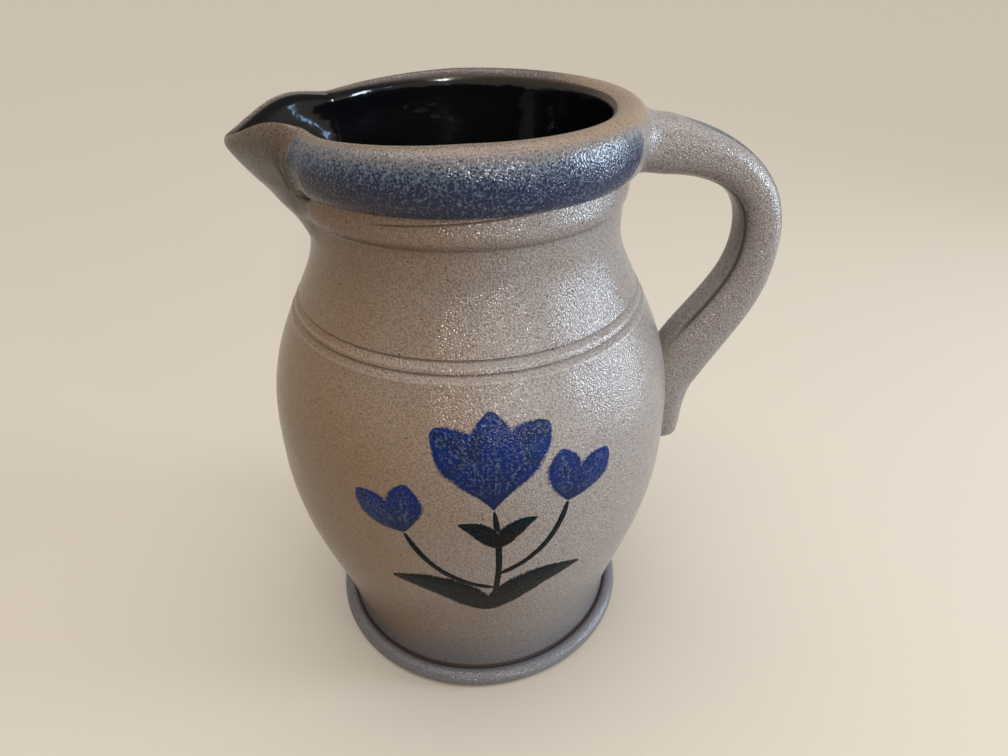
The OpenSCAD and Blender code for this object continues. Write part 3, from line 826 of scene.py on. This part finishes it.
def collar_marks(s, delta):
    """Where glaze gathers and painted shade falls, above 0, and where glaze breaks, below 0, on collar and
    spout, and where these are toasted, with painted shade on the spout and the far lip.
    """
    d = from_spout(delta)
    neck, roll = collar_rows()
    z = mix(s.neck_z, s.crease_z, neck)
    depth = (s.crease_z - z) / MM
    fold, above = neck_fold(s, z, d)
    off_spout = np.clip((d - 32) / 4, 0, 1)
    # Painted shade with pooled glaze in the fold, the pinch, under the bead and along the crease
    pinch = hump(d, PINCH_AT, PINCH_WIDTH) * hump(depth, PINCH_BELOW, 0.5)
    step = 0.25 * hump(depth, 9.9, 0.9) + 0.6 * hump(depth, 0, 0.5)
    on_neck = 0.65 * fold + pinch - 0.2 * above + off_spout * step
    ridge, strength = roll_ridge(roll)
    # Pooled glaze and painted shade in the groove at the roll's end, broken glaze on its ridge, and painted
    # shade along the crease under the roll
    mark = 1.1 * hump(d, ridge - 1.8, 1.0) - 0.8 * hump(d, ridge + 0.2, 0.6)
    on_roll = mark * strength + 0.6 * off_spout * hump(roll, 0, 0.04)
    # Toasting on the spout's sides, strengthened as painted shade
    spout = 0.78 * ease(np.clip((TOAST_END - d) / 15, 0, 1))
    far = np.sin(delta)[:, None]
    # The lip's toasting, stronger and wider on the far side as painted shade
    lip = (0.82 + 0.16 * far) * np.clip((150 + 30 * np.maximum(far, 0) - d) / 50, 0, 1)
    crest = np.clip((roll - 0.7) / 0.3, 0, 1)
    stain = np.concatenate([
        1.4 * spout * np.clip(1.2 - depth / 18, 0, 1),
        mix(spout * mix(1.4, 1, roll), 0.8 * lip, crest),
        lip * np.linspace(0.8, 1.1, LIP_STEPS),
        np.zeros((len(d), THROAT_STEPS))], 1)
    pool = np.concatenate([on_neck, on_roll, np.zeros((len(d), LIP_STEPS + THROAT_STEPS))], 1)
    return pool, stain


def collar_form(s, delta):
    """Points of the collar and its spout: one section for each angle from the spout's middle."""
    d = from_spout(delta)
    crease_r = s.neck_r + s.neck_flare
    t, k = collar_rows()
    neck_z = mix(s.neck_z, s.crease_z, t)
    pinch = 0.9 * MM * hump(d, PINCH_AT, PINCH_WIDTH) * hump((s.crease_z - neck_z) / MM, PINCH_BELOW, 0.7)
    neck_r = s.neck_r + s.neck_flare * t * t + neck_bead(s, neck_z, d) - pinch

    roll_z = mix(s.crease_z, s.rim_z, k)
    share, mark = roll_end(k, d)
    steep = np.maximum(0, 1 - np.abs(2 * k - 1) ** ROLL_POWER) ** (1 / ROLL_POWER)
    bulge = s.collar_out * mix(np.sin(math.pi * k) ** 2, steep, share ** 2)
    pull = spout_share(s, d)
    nose = s.spout_nose * pull * np.clip((k - NOSE_FROM) / (1 - NOSE_FROM), 0, 1) ** 2
    roll_r = mix(crease_r, s.crest_r, k) + bulge * share + mark - nose

    a = math.pi / 2 * np.arange(1, LIP_STEPS + 1) / LIP_STEPS
    mouth_r = s.mouth_r - MOUTH_SHIFT * ((1 - np.cos(np.radians(d))) / 2) ** 3
    lip_r = mix(roll_r[:, -1:], mouth_r, np.sin(a))
    lip_z = s.rim_z - s.lip_round * (1 - np.cos(a))

    t = np.arange(1, THROAT_STEPS + 1) / THROAT_STEPS
    throat_r = mix(mouth_r, s.neck_r - s.wall_t, ease(t))
    throat_z = mix(s.rim_z - s.lip_round, s.neck_z, t)

    parts = (neck_r, roll_r, lip_r, throat_r)
    r = np.concatenate([np.broadcast_to(part, (len(d), part.shape[-1])) for part in parts], 1)
    z = np.concatenate([neck_z, roll_z, lip_z, throat_z])
    h = (z - s.neck_z) / (s.rim_z - s.neck_z)
    r = r + s.spout_pull * pull * h * (1 + KEEL_FILL * (1 - h ** KEEL_POWER))
    top = np.clip((z - s.crease_z) / (s.rim_z - s.crease_z), 0, 1)
    z = z + lip_wave(s, delta) * top - s.spout_drop * pull ** 2 * h
    angle = delta[:, None]
    return np.stack([-r * np.cos(angle), r * np.sin(angle), z], -1)


def form_normals(points):
    """Outward directions of a form that is laid out as sections."""
    across = np.gradient(points, axis=0)
    along = np.gradient(points, axis=1)
    normal = np.cross(along, across)
    return normal / np.linalg.norm(normal, axis=-1, keepdims=True)


# A coat's hidden side, its sunk edge and its painted top, from the clay's surface
COAT_FOOT = -0.15 * MM
COAT_EDGE = -0.06 * MM
COAT_RISE = 0.1 * MM


def coat_rings(points, normals, outer):
    """Rings of a thin coat on a form, from its hidden side to a distance."""
    top = points + normals * outer[..., None]
    foot = points + normals * COAT_FOOT
    return np.concatenate([top, foot[:, ::-1]], 1)


def coat_taper(shape):
    """A share that falls to 0 along the four borders of a coat."""
    rows, columns = (np.clip(np.minimum(np.arange(n), n - 1 - np.arange(n)) / 3, 0, 1) for n in shape)
    return rows[:, None] * columns


def doubled(value):
    """A value on both sides of a coat."""
    return np.concatenate([value, value[:, ::-1]], 1)


def brushed_coat(name, points, normals, paint, **values):
    """The mesh of a brushed coat, sunk into the clay where it has no paint."""
    cover = np.clip(1.6 * paint + 0.1, 0, 1) * coat_taper(paint.shape)
    rings = coat_rings(points, normals, mix(COAT_EDGE, COAT_RISE, cover))
    return skin_mesh(name, rings, paint=doubled(paint), **values)


def collar_angles():
    """Angles of the collar's sections, from one side of the spout round to the other."""
    beside = np.linspace(SPOUT_CUT, SPOUT_CUT + 8, 24, endpoint=False)
    round_back = np.linspace(SPOUT_CUT + 8, 360 - SPOUT_CUT - 8, 220)
    return np.radians(np.concatenate([beside, round_back, 360 - beside[::-1]]))


def spout_angles():
    """Angles of the spout's sections, closest where the collar roll ends."""
    roll = np.linspace(RIDGE_NEAR, SPOUT_CUT, 33)
    trough = np.linspace(-RIDGE_NEAR, RIDGE_NEAR, 99)[1:-1]
    return np.radians(np.concatenate([-roll[::-1], trough, roll]))


class PITCHER_OT_pull_spout(bpy.types.Operator):
    """Turn the collar and pull its spout"""
    bl_idname = "pitcher.pull_spout"
    bl_label = "Turn collar and pull spout"

    def execute(self, context):
        s = context.scene.pitcher_sizes
        clay = material_for("clay")
        for name, node, angles in (("turned_collar", "neck_collar", collar_angles()),
                                   ("pulled_spout", "pouring_spout", spout_angles())):
            pool, stain = collar_marks(s, angles)
            mesh = skin_mesh(name, collar_form(s, angles), pool=pool, stain=stain)
            place_piece(name, mesh, clay, "stoneware", node)
        return {"FINISHED"}


class PITCHER_OT_pour_liner(bpy.types.Operator):
    """Pour the liner glaze over the inside"""
    bl_idname = "pitcher.pour_liner"
    bl_label = "Pour liner"

    def execute(self, context):
        s = context.scene.pitcher_sizes
        liner = material_for("liner")
        clay_side = inside_profile(s, 0)
        glaze_side = inside_profile(s, -s.glaze_t)[::-1]
        points = np.concatenate([clay_side, glaze_side])
        z = points[:, 1]
        thrown = ring_share(z, s.floor_t, s.neck_z, FADE_LINER)
        thrown[:len(clay_side)] = 0
        mesh = throw("body_glaze", points, thrown, 0 * thrown, "liner", LINER_SEGMENTS, LINER_SEED,
                     Ring_depth=LINER_RING_DEPTH, Wobble=0.0, Ring_spacing=LINER_RING_SPACING)
        place_piece("body_glaze", mesh, liner, "liner_glaze", "body_liner")

        for name, node, angles in (("collar_glaze", "collar_liner", collar_angles()),
                                   ("spout_glaze", "spout_liner", spout_angles())):
            points = collar_form(s, angles)
            normals = form_normals(points)[:, LIP_AT:]
            points = points[:, LIP_AT:]
            run = np.linalg.norm(np.diff(points, axis=1), axis=-1)
            run = np.concatenate([np.zeros((len(run), 1)), np.cumsum(run, 1)], 1)
            # The glaze reaches the lip's top at the spout, and stays lower round the rest of the mouth
            d = from_spout(angles)
            run = run - MM * smooth_through(d, GLAZE_TURN, GLAZE_BELOW)
            cover = ease(np.clip(run / (0.5 * MM), 0, 1))
            thick = mix(COAT_EDGE, COAT_RISE / 2, cover) + s.glaze_t * ease(np.clip(run / (5 * MM), 0, 1))
            edge = np.clip(1 - run / (MM * np.interp(d, [30, 80, 180], [1.6, 3.5, 4])), 0, 1)
            mesh = skin_mesh(name, coat_rings(points, normals, thick), edge=doubled(edge))
            place_piece(name, mesh, liner, "liner_glaze", node)
        return {"FINISHED"}


# Angles from the spout's middle where the band's sections become even and where the brush is lifted
BAND_EVEN = 37
BAND_END = 152


class PITCHER_OT_brush_band(bpy.types.Operator):
    """Brush cobalt round the collar roll, from the spout to the handle on both sides"""
    bl_idname = "pitcher.brush_band"
    bl_label = "Brush band"

    def execute(self, context):
        s = context.scene.pitcher_sizes
        beside = np.linspace(RIDGE_NEAR, BAND_EVEN, 52, endpoint=False)
        degrees = np.concatenate([beside, np.linspace(BAND_EVEN, BAND_END + 4, 160)])
        sections = slice(ROLL_AT + 2, LIP_AT - 2)
        for name, node, side in (("band_front", "cobalt_band_front", -1),
                                 ("band_back", "cobalt_band_back", 1)):
            angles = np.radians(degrees * side)
            points = collar_form(s, angles)
            pool, stain = (doubled(mark[:, sections]) for mark in collar_marks(s, angles))
            normals = form_normals(points)[:, sections] * side
            points = points[:, sections]
            k = np.clip((points[..., 2] - s.crease_z) / (s.rim_z - s.crease_z), 0, 1)
            d = degrees[:, None]
            start = roll_ridge(k)[0] + 1.2
            end = BAND_END - 0.09 * ((points[..., 2] - s.rim_z) / MM + 7) ** 2
            ends = np.clip((d - start) / mix(0.8, 2.5, k), 0, 1) * np.clip((end - d) / 4, 0, 1)
            # The brush is fullest where it is set down beside the spout
            load = 0.4 * hump(d, start + 4, 4)
            paint = ends * np.clip((k - 0.02) / 0.06, 0, 1) * np.clip((1.02 - k) * (1 / 0.6 + load), 0, 1)
            mesh = brushed_coat(name, points, normals, paint, pool=pool, stain=stain)
            place_piece(name, mesh, material_for("band"), "cobalt_slip", node)
        return {"FINISHED"}


# The strap handle

# Power of the strap's section, and the directions in which the strap lands and leads off
STRAP_POWER = 2.6
LAND_TURN = math.radians(241.7)
LEAD = np.array([1.0, -0.13])
# Length of the lead, height of the tail's rounded tip, and how deep the strap sits in the wall
LEAD_RUN = 16 * MM
TIP_ROUND = 5 * MM
SEAT_DEPTH = 0.4 * MM
# The brush mark's places along the strap, and its half width as an angle round the section
MARK_FROM = 1.08
MARK_TO = 2.1
MARK_MIDDLE = 1.58
MARK_HALF = 0.48
MARK_TURN = 18


def hermite(p, v, q, w, t):
    """Points from p, leaving along v, to q, arriving along w."""
    t = t[:, None]
    a = ease(t)
    return p * (1 - a) + q * a + v * (t * (1 - t) ** 2) - w * (t * t * (1 - t))


def squared_round(a, power):
    """Side and face of a section at an angle: a round that is drawn towards a square below power 1."""
    side = np.sign(np.cos(a)) * np.abs(np.cos(a)) ** power
    face = np.sign(np.sin(a)) * np.abs(np.sin(a)) ** power
    return side, face


def strap_line(s, u):
    """The strap's middle line: lead to 1, bend to 2, run down to 3 and pressed tail to 4."""
    lead_x = s.neck_r + s.neck_flare + s.collar_out + 5 * MM
    reach = s.strap_reach - 0.575 * s.strap_t
    down = np.array([0.0, -1.0])
    landing = np.array([math.cos(LAND_TURN), math.sin(LAND_TURN)])
    lead_p = np.array([lead_x, s.strap_top_z])
    reach_p = np.array([reach, s.strap_reach_z])
    land_p = np.array([wall_radius(s, s.strap_land_z) + 0.3 * s.strap_land_t, s.strap_land_z])
    tail_p = np.array([wall_radius(s, s.tail_z) + 0.4 * s.tail_t, s.tail_z])
    bend = reach - lead_x
    drop = s.strap_reach_z - s.strap_land_z
    lead = lead_p + LEAD * LEAD_RUN * np.clip(u - 1, -1, 0)[:, None]
    over = hermite(lead_p, LEAD * bend * 1.16, reach_p, down * bend * 2, np.clip(u - 1, 0, 1))
    run = hermite(reach_p, down * drop * 1.24, land_p, landing * drop * 1.43, np.clip(u - 2, 0, 1))
    tail = hermite(land_p, landing * drop * 0.55, tail_p, down * drop * 0.41, np.clip(u - 3, 0, 1))
    u = u[:, None]
    return np.where(u <= 1, lead, np.where(u <= 2, over, np.where(u <= 3, run, tail)))


def strap_grooves(u, a):
    """Two shallow grooves along the inner face, where the strap was drawn through the fingers."""
    side, _ = squared_round(a, 2 / STRAP_POWER)
    groove = (hump(side, 0.62, 0.09) + hump(side, -0.62, 0.09)) * (np.sin(a) < -0.3)
    return groove * np.interp(u, [1.2, 1.6, 2.7, 3.0], [0, 1, 1, 0])[:, None]


def strap_form(s, u, a):
    """Points on the strap at places u along it and angles a round its section."""
    nudge = 0.005
    middle = strap_line(s, u)
    d = strap_line(s, np.minimum(u + nudge, 4)) - strap_line(s, np.maximum(u - nudge, 0))
    n = np.stack([-d[:, 1], d[:, 0]], 1) / np.linalg.norm(d, axis=1, keepdims=True)
    half_t = smooth_through(u, [1, 1.3, 1.6, 2, 2.5, 3, 3.3, 3.6, 4], [
        0.69 * s.strap_t, 0.575 * s.strap_t, 0.505 * s.strap_t, 0.558 * s.strap_t, 0.53 * s.strap_land_t,
        0.587 * s.strap_land_t, 1.1 * s.tail_t, 0.95 * s.tail_t, 0.83 * s.tail_t])
    half_w = s.strap_w * smooth_through(u, [1, 1.35, 1.8, 3.5, 3.8, 4], [0.57, 0.54, 0.5, 0.5, 0.46, 0.4])
    side, face = squared_round(a, 2 / STRAP_POWER)
    y = half_w[:, None] * side
    t = half_t[:, None] * face + 0.5 * MM * strap_grooves(u, a)
    x = middle[:, :1] + n[:, :1] * t
    z = middle[:, 1:] + n[:, 1:] * t
    return np.stack([x, y, z], -1)


def collar_outline(s):
    """Radius and height of the collar's outside at the handle."""
    section = collar_form(s, np.array([math.pi]))[0, :LIP_AT]
    return np.hypot(section[:, 0], section[:, 1]), section[:, 2]


def root_fillet(s, ring, a):
    """Rings that carry the strap's first ring smoothly on to the collar."""
    r, z = collar_outline(s)
    side, face = squared_round(a, 2 - 2 / STRAP_POWER)
    spread = np.interp(face, [-1, 0, 1], [5.0, 5.0, 4.0]) * MM
    reach = np.interp(face, [-1, 0, 1], [7.0, 8.0, 8.0]) * MM

    def on_collar(y, height, sink):
        return np.stack([np.sqrt((np.interp(height, z, r) - sink) ** 2 - y ** 2), y, height], -1)

    norm = np.hypot(side, face)
    # Each point runs back along the strap's lead until it meets the collar
    corner = ring
    for _ in range(12):
        corner = on_collar(ring[:, 1], ring[:, 2] + LEAD[1] * (corner[:, 0] - ring[:, 0]), 0.0)
    edge = on_collar(corner[:, 1] + spread * side / norm, corner[:, 2] + spread * face / norm, 0.08 * MM)
    free = np.maximum(np.linalg.norm(ring - corner, axis=1), 0.001 * MM)
    start = corner + (ring - corner) * np.minimum(1, reach / free)[:, None]
    t = np.linspace(0, 1, 16)[:, None, None]
    curve = edge * (1 - t) ** 2 + corner * 2 * t * (1 - t) + start * t * t
    hidden = on_collar(corner[:, 1] * 0.8, mix(s.strap_top_z, corner[:, 2], 0.8), 3 * MM)
    return np.concatenate([hidden[None], curve])


def seat_on_wall(s, points, depth):
    """Points moved out of the wall to a small depth under its surface."""
    r = np.hypot(points[..., 0], points[..., 1])
    least = wall_radius(s, points[..., 2]) - depth
    grow = np.where(points[..., 2] < s.neck_z, np.maximum(1, least / r), 1)
    return points * np.stack([grow, grow, np.ones_like(grow)], -1)


class PITCHER_OT_pull_handle(bpy.types.Operator):
    """Pull the strap handle, press on its ends and brush its top"""
    bl_idname = "pitcher.pull_handle"
    bl_label = "Pull handle"

    def execute(self, context):
        s = context.scene.pitcher_sizes
        a = np.linspace(0, -2 * math.pi, 96, endpoint=False)
        u = np.concatenate([np.linspace(1.06, 2, 50), np.linspace(2, 3, 48)[1:], np.linspace(3, 4, 40)[1:]])
        strap = strap_form(s, u, a)
        end = strap[-1]
        centre = end.mean(0)
        turn_in = np.linspace(0, math.pi / 2, 9)[1:-1, None, None]
        tip = centre + (end - centre) * np.cos(turn_in) - np.sin(turn_in) * np.array([0, 0, TIP_ROUND])
        root = root_fillet(s, strap[0], a)
        rings = seat_on_wall(s, np.concatenate([root, strap, tip]), SEAT_DEPTH)
        pool = np.zeros(rings.shape[:2])
        # Painted shade with pooled glaze in the strap's grooves
        pool[len(root):len(root) + len(u)] = 0.75 * strap_grooves(u, a)
        mesh = skin_mesh("pulled_handle", rings, pool=pool)
        place_piece("pulled_handle", mesh, material_for("clay"), "stoneware", "strap_handle")

        u = np.linspace(MARK_FROM, MARK_TO, 76)
        a = np.radians(np.linspace(20, 145, 40))
        points = strap_form(s, u, a)
        normals = form_normals(points)
        # On the bend's top, outwards is up
        normals *= np.sign(normals[len(u) // 3, len(a) // 2, 2])
        swell = np.sqrt(np.clip(1 - ((u - MARK_MIDDLE) / MARK_HALF) ** 2, 0, 1))
        centre = np.interp(u, [1.1, 1.5, 2.05], [94, 101, 121])[:, None]
        paint = np.clip(1.4 * swell[:, None] - np.abs(np.degrees(a) - centre) / MARK_TURN, 0, 1)
        mesh = brushed_coat("handle_brushmark", points, normals, paint)
        place_piece("handle_brushmark", mesh, material_for("band"), "cobalt_slip", "handle_stroke")
        return {"FINISHED"}


# The painted sprig

# Power that blunts a stroke's ends
STROKE_BLUNT = 0.7


def polar(size, degrees):
    """A flat step by a length and a direction."""
    return size * np.array([math.cos(math.radians(degrees)), math.sin(math.radians(degrees))])


def bowed(p, q, bow, t):
    """Points from p to q on a line that bows sideways."""
    d = q - p
    aside = np.array([-d[1], d[0]]) / np.linalg.norm(d)
    t = np.atleast_1d(t)[:, None]
    return p + d * t + aside * bow * 4 * t * (1 - t)


def stroke_rings(p, q, bow, half, layer, seed):
    """One closed flat stroke. Its rings hold x, layer and height, with half widths given along it."""
    steps = len(half)
    t = np.linspace(0.01, 0.99, steps)
    middle = bowed(p, q, bow, t)
    d = np.gradient(middle, axis=0)
    aside = np.stack([-d[:, 1], d[:, 0]], 1) / np.linalg.norm(d, axis=1, keepdims=True)
    across = np.sin(np.linspace(-1, 1, 13) * math.pi / 2)
    # A brush's hairs leave the two edges a little uneven
    random = np.random.default_rng(seed)
    knots = np.linspace(0, 1, 9)
    ragged = np.stack([smooth_through(t, knots, random.uniform(0.94, 1.05, 9)) for _ in range(2)], 1)
    width = half[:, None] * np.where(across < 0, ragged[:, :1], ragged[:, 1:]) * across
    flat = middle[:, None] + aside[:, None] * width[..., None]
    lift = (1 - np.abs(across) ** 4) * np.sin(math.pi * np.clip(t, 0.03, 0.97))[:, None] ** 0.4 + 0.12 * layer
    top = np.stack([flat[..., 0], -MM * lift, flat[..., 1]], -1)
    foot = np.stack([flat[..., 0], 0 * lift, flat[..., 1]], -1)
    values = {"lift": np.concatenate([lift, 0 * lift], 1),
              "across": doubled(np.broadcast_to(across, lift.shape)),
              "along": doubled(np.broadcast_to(t[:, None], lift.shape))}
    return np.concatenate([top, foot[:, ::-1]], 1), values


def petal_halves(width, fat, steps=48):
    """Half widths of a stroke that swells, nearer its tip where fat is above 1."""
    t = np.linspace(0.01, 0.99, steps)
    return width / 2 * np.sin(math.pi * t ** fat) ** STROKE_BLUNT


def stem_halves(width, steps=48):
    """Half widths of a thin stroke with rounded ends."""
    t = np.linspace(0, 1, steps)
    ends = np.sin(math.pi * np.clip(t * 6, 0, 0.5)) * np.clip((1 - t) * 8, 0, 1) ** 0.5
    return width / 2 * mix(0.35, 1, ends)


def sprig_strokes(s):
    """The strokes of each part of the sprig: foot, tip, bow and half widths, in the order they are laid."""
    foot = np.zeros(2)
    flower = np.array([s.stem_w, s.sprig_h - s.petal_len])

    def on_stem(t):
        return bowed(foot, flower, -s.stem_w, t)[0]

    buds = {1: np.array([s.sprig_w / 2, 0.6 * s.sprig_h]), -1: np.array([-s.sprig_w / 2, 0.5 * s.sprig_h])}
    bow = 0.09 * s.sprig_w
    stem = stem_halves(s.stem_w)
    strokes = {"stem": [
        (foot, flower, -s.stem_w, stem),
        (on_stem(0.3), buds[-1], bow, stem),
        (on_stem(0.45), buds[1], -bow, stem)]}
    large = petal_halves(s.leaf_w, 0.75)
    small = petal_halves(0.55 * s.leaf_w, 0.75)
    leaf_foot = np.array([0, 1 * MM])
    strokes["leaf"] = []
    for side in (1, -1):
        tip = polar(s.leaf_len, 90 - side * 61)
        strokes["leaf"].append((leaf_foot, leaf_foot + tip, side * 0.5 * s.leaf_w, large))
        tip = polar(0.45 * s.leaf_len, 90 - side * 50)
        strokes["leaf"].append((on_stem(0.7), on_stem(0.7) + tip, side * s.stem_w, small))
    outer = petal_halves(s.petal_w, 1.5)
    strokes["blossom"] = [
        (flower, flower + polar(s.petal_len, 90 + side * 34), -side * 0.18 * s.petal_w, outer)
        for side in (-1, 1)]
    strokes["blossom"].append((flower, flower + polar(s.petal_len, 90), 0.0, petal_halves(s.petal_w, 1.3)))
    bud = petal_halves(0.62 * s.bud_len, 1.3)
    strokes["bud"] = [
        (buds[side], buds[side] + polar(s.bud_len, lean + split), 0.0, bud)
        for side, lean in ((-1, 110), (1, 72)) for split in (-25, 25)]
    return strokes


class PITCHER_OT_brush_sprig(bpy.types.Operator):
    """Brush the sprig's stems, leaves, blossom and buds on to the belly"""
    bl_idname = "pitcher.brush_sprig"
    bl_label = "Brush sprig"

    def execute(self, context):
        s = context.scene.pitcher_sizes
        parts = {
            "stem": ("sprig_stems", "leaf", "leaf_slip"),
            "leaf": ("sprig_leaves", "leaf", "leaf_slip"),
            "blossom": ("sprig_blossom", "petal", "cobalt_slip"),
            "bud": ("sprig_buds", "petal", "cobalt_slip")}
        for number, (part, strokes) in enumerate(sprig_strokes(s).items()):
            node, key, slot = parts[part]
            form = bmesh.new()
            place = np.array([0, s.sprig_z])
            for layer, (p, q, bow, half) in enumerate(strokes):
                seed = 10 * number + layer
                rings, values = stroke_rings(p + place, q + place, bow, half, layer + number, seed)
                mesh = skin_mesh("stroke", rings, **values)
                form.from_mesh(mesh)
                bpy.data.meshes.remove(mesh)
            flat = bpy.data.meshes.new(f"{part}_strokes")
            form.to_mesh(flat)
            form.free()
            laid = run_tree(shared_tree(brush_tree), flat, Clay=bpy.data.objects["thrown_wall"],
                            Thickness=s.slip_t, Sink=-COAT_EDGE, Material=material_for(key))
            place_piece(f"{part}_strokes", laid, material_for(key), slot, node)
        return {"FINISHED"}


# The stage

# The camera's place, the way it looks, its right, its roll and its lens
EYE = Vector((-8.1, -237.6, 268.5)) * MM
AIM = Vector((0.0728, 0.8320, -0.5499))
RIGHT = Vector((0.9962, -0.0872, 0.0))
ROLL = math.radians(-0.58)
LENS = 25.0
# Half of the floor's width, in metres, the point that the lamps look at, and how wide they shine
FLOOR_HALF = 6.0
LAMP_AIM = Vector((0, 0, 0.12))
LAMP_SPREAD = math.radians(100)
# Azimuth, elevation, distance, size, power and tint of each lamp
LAMPS = {
    "window": (82, 10, 1.1, (0.3, 0.5), 3.5, (0.64, 0.81, 1.0)),
    "window pane": (56.5, 17, 1.1, (0.05, 0.06), 0.037, (0.36, 0.64, 1.0)),
    "front lamp": (9, 21, 1.4, (0.09, 0.065), 2.0, (1.0, 0.98, 0.95)),
    "side lamp": (38, 4, 1.3, (0.1, 0.12), 0.8, (0.92, 0.96, 1.0)),
}
# Strength, tint and softness of the light from above
TOP_LIGHT = 3.1
TOP_TINT = (0.92, 0.96, 1.0)
TOP_SPREAD = math.radians(70)


def lamp(name, azimuth, elevation, distance, size, power, tint):
    """A soft lamp that looks at the pitcher. Azimuth 0 is the painted side, 90 the handle's."""
    light = bpy.data.lights.new(name, "AREA")
    light.shape = "RECTANGLE"
    light.size, light.size_y = size
    light.spread = LAMP_SPREAD
    light.energy = power
    light.color = tint
    a, e = math.radians(azimuth), math.radians(elevation)
    away = Vector((math.sin(a) * math.cos(e), -math.cos(a) * math.cos(e), math.sin(e)))
    holder = link_object(name, light)
    holder.location = LAMP_AIM + away * distance
    holder.rotation_euler = (-away).to_track_quat("-Z", "Y").to_euler()


def seen_share(n):
    """1 for what the camera sees, straight or by reflection, and 0 for light that falls on the pitcher."""
    rays = n.add("ShaderNodeLightPath").outputs
    seen = n.math("MAXIMUM", rays["Is Camera Ray"], rays["Is Glossy Ray"])
    return n.math("MAXIMUM", seen, rays["Is Transmission Ray"])


def floor_material(c):
    """A pale floor that throws less light back on to the pitcher than it shows."""
    material = bpy.data.materials.new("pale floor")
    material.use_nodes = True
    n = Nodes(material.node_tree)
    seen = seen_share(n)
    shader = material.node_tree.nodes["Principled BSDF"]
    n.tree.links.new(n.blend(seen, c.floor_glow, c.floor), shader.inputs["Base Color"])
    n.tree.links.new(n.math("MULTIPLY", seen, 0.05), shader.inputs["Emission Strength"])
    shader.inputs["Emission Color"].default_value = rgba(c.floor)
    shader.inputs["Roughness"].default_value = 0.9
    return material


def lay_floor(c):
    """The floor, which is no part of the pitcher."""
    mesh = bpy.data.meshes.new("floor")
    corners = [(FLOOR_HALF * x, FLOOR_HALF * y, 0) for x, y in ((-1, -1), (1, -1), (1, 1), (-1, 1))]
    mesh.from_pydata(corners, [], [(0, 1, 2, 3)])
    mesh.materials.append(floor_material(c))
    link_object("floor", mesh)


def soft_room(c):
    """A world with the room's soft light, and a backdrop that is pale near the floor."""
    world = bpy.data.worlds.new("soft room")
    world.use_nodes = True
    n = Nodes(world.node_tree)
    height = n.split(n.add("ShaderNodeTexCoord").outputs["Generated"])[2]
    share = n.math("MULTIPLY", seen_share(n), n.ramp(height, 0.45, 0.2))
    sky = world.node_tree.nodes["Background"]
    n.tree.links.new(n.blend(share, c.room, c.backdrop), sky.inputs["Color"])
    return world


def set_camera():
    """A camera at the photographer's place."""
    camera = bpy.data.cameras.new("camera")
    camera.lens = LENS
    camera.clip_start = 10 * MM
    holder = link_object("camera", camera)
    up = RIGHT.cross(AIM)
    x = RIGHT * math.cos(ROLL) + up * math.sin(ROLL)
    y = up * math.cos(ROLL) - RIGHT * math.sin(ROLL)
    turned = Matrix((x, y, -AIM)).transposed().to_4x4()
    holder.matrix_world = Matrix.Translation(EYE) @ turned
    return holder


class PITCHER_OT_set_stage(bpy.types.Operator):
    """Set the floor, the soft light and the camera"""
    bl_idname = "pitcher.set_stage"
    bl_label = "Set stage"

    def execute(self, context):
        scene = context.scene
        scene.view_settings.view_transform = "Standard"
        lay_floor(scene.pitcher_colours)
        scene.world = soft_room(scene.pitcher_colours)
        for name, values in LAMPS.items():
            lamp(name, *values)
        top = bpy.data.lights.new("top light", "SUN")
        top.energy = TOP_LIGHT
        top.color = TOP_TINT
        top.angle = TOP_SPREAD
        link_object("top light", top)
        scene.camera = set_camera()
        return {"FINISHED"}


class PITCHER_PT_panel(bpy.types.Panel):
    """Steps that make the pitcher, with its sizes and colours"""
    bl_idname = "PITCHER_PT_panel"
    bl_label = "Pitcher"
    bl_space_type = "VIEW_3D"
    bl_region_type = "UI"
    bl_category = "Pitcher"

    def draw(self, context):
        for step in STEPS:
            self.layout.operator(step.bl_idname)
        for group in (context.scene.pitcher_sizes, context.scene.pitcher_colours):
            box = self.layout.box()
            for label in group.bl_rna.properties.keys():
                if label not in ("rna_type", "name"):
                    box.prop(group, label)


STEPS = (
    PITCHER_OT_throw_body, PITCHER_OT_pull_spout, PITCHER_OT_pull_handle, PITCHER_OT_pour_liner,
    PITCHER_OT_brush_band, PITCHER_OT_brush_sprig, PITCHER_OT_set_stage)
CLASSES = (PitcherSizes, PitcherColours, *STEPS, PITCHER_PT_panel)


def register():
    """Adds the classes and the scene's sizes and colours."""
    for kind in CLASSES:
        bpy.utils.register_class(kind)
    bpy.types.Scene.pitcher_sizes = bpy.props.PointerProperty(type=PitcherSizes)
    bpy.types.Scene.pitcher_colours = bpy.props.PointerProperty(type=PitcherColours)


def unregister():
    """Takes away what register added."""
    del bpy.types.Scene.pitcher_sizes
    del bpy.types.Scene.pitcher_colours
    for kind in reversed(CLASSES):
        bpy.utils.unregister_class(kind)


def main():
    """Makes the pitcher step by step."""
    register()
    for step in STEPS:
        group, name = step.bl_idname.split(".")
        getattr(getattr(bpy.ops, group), name)()


if __name__ == "__main__":
    main()
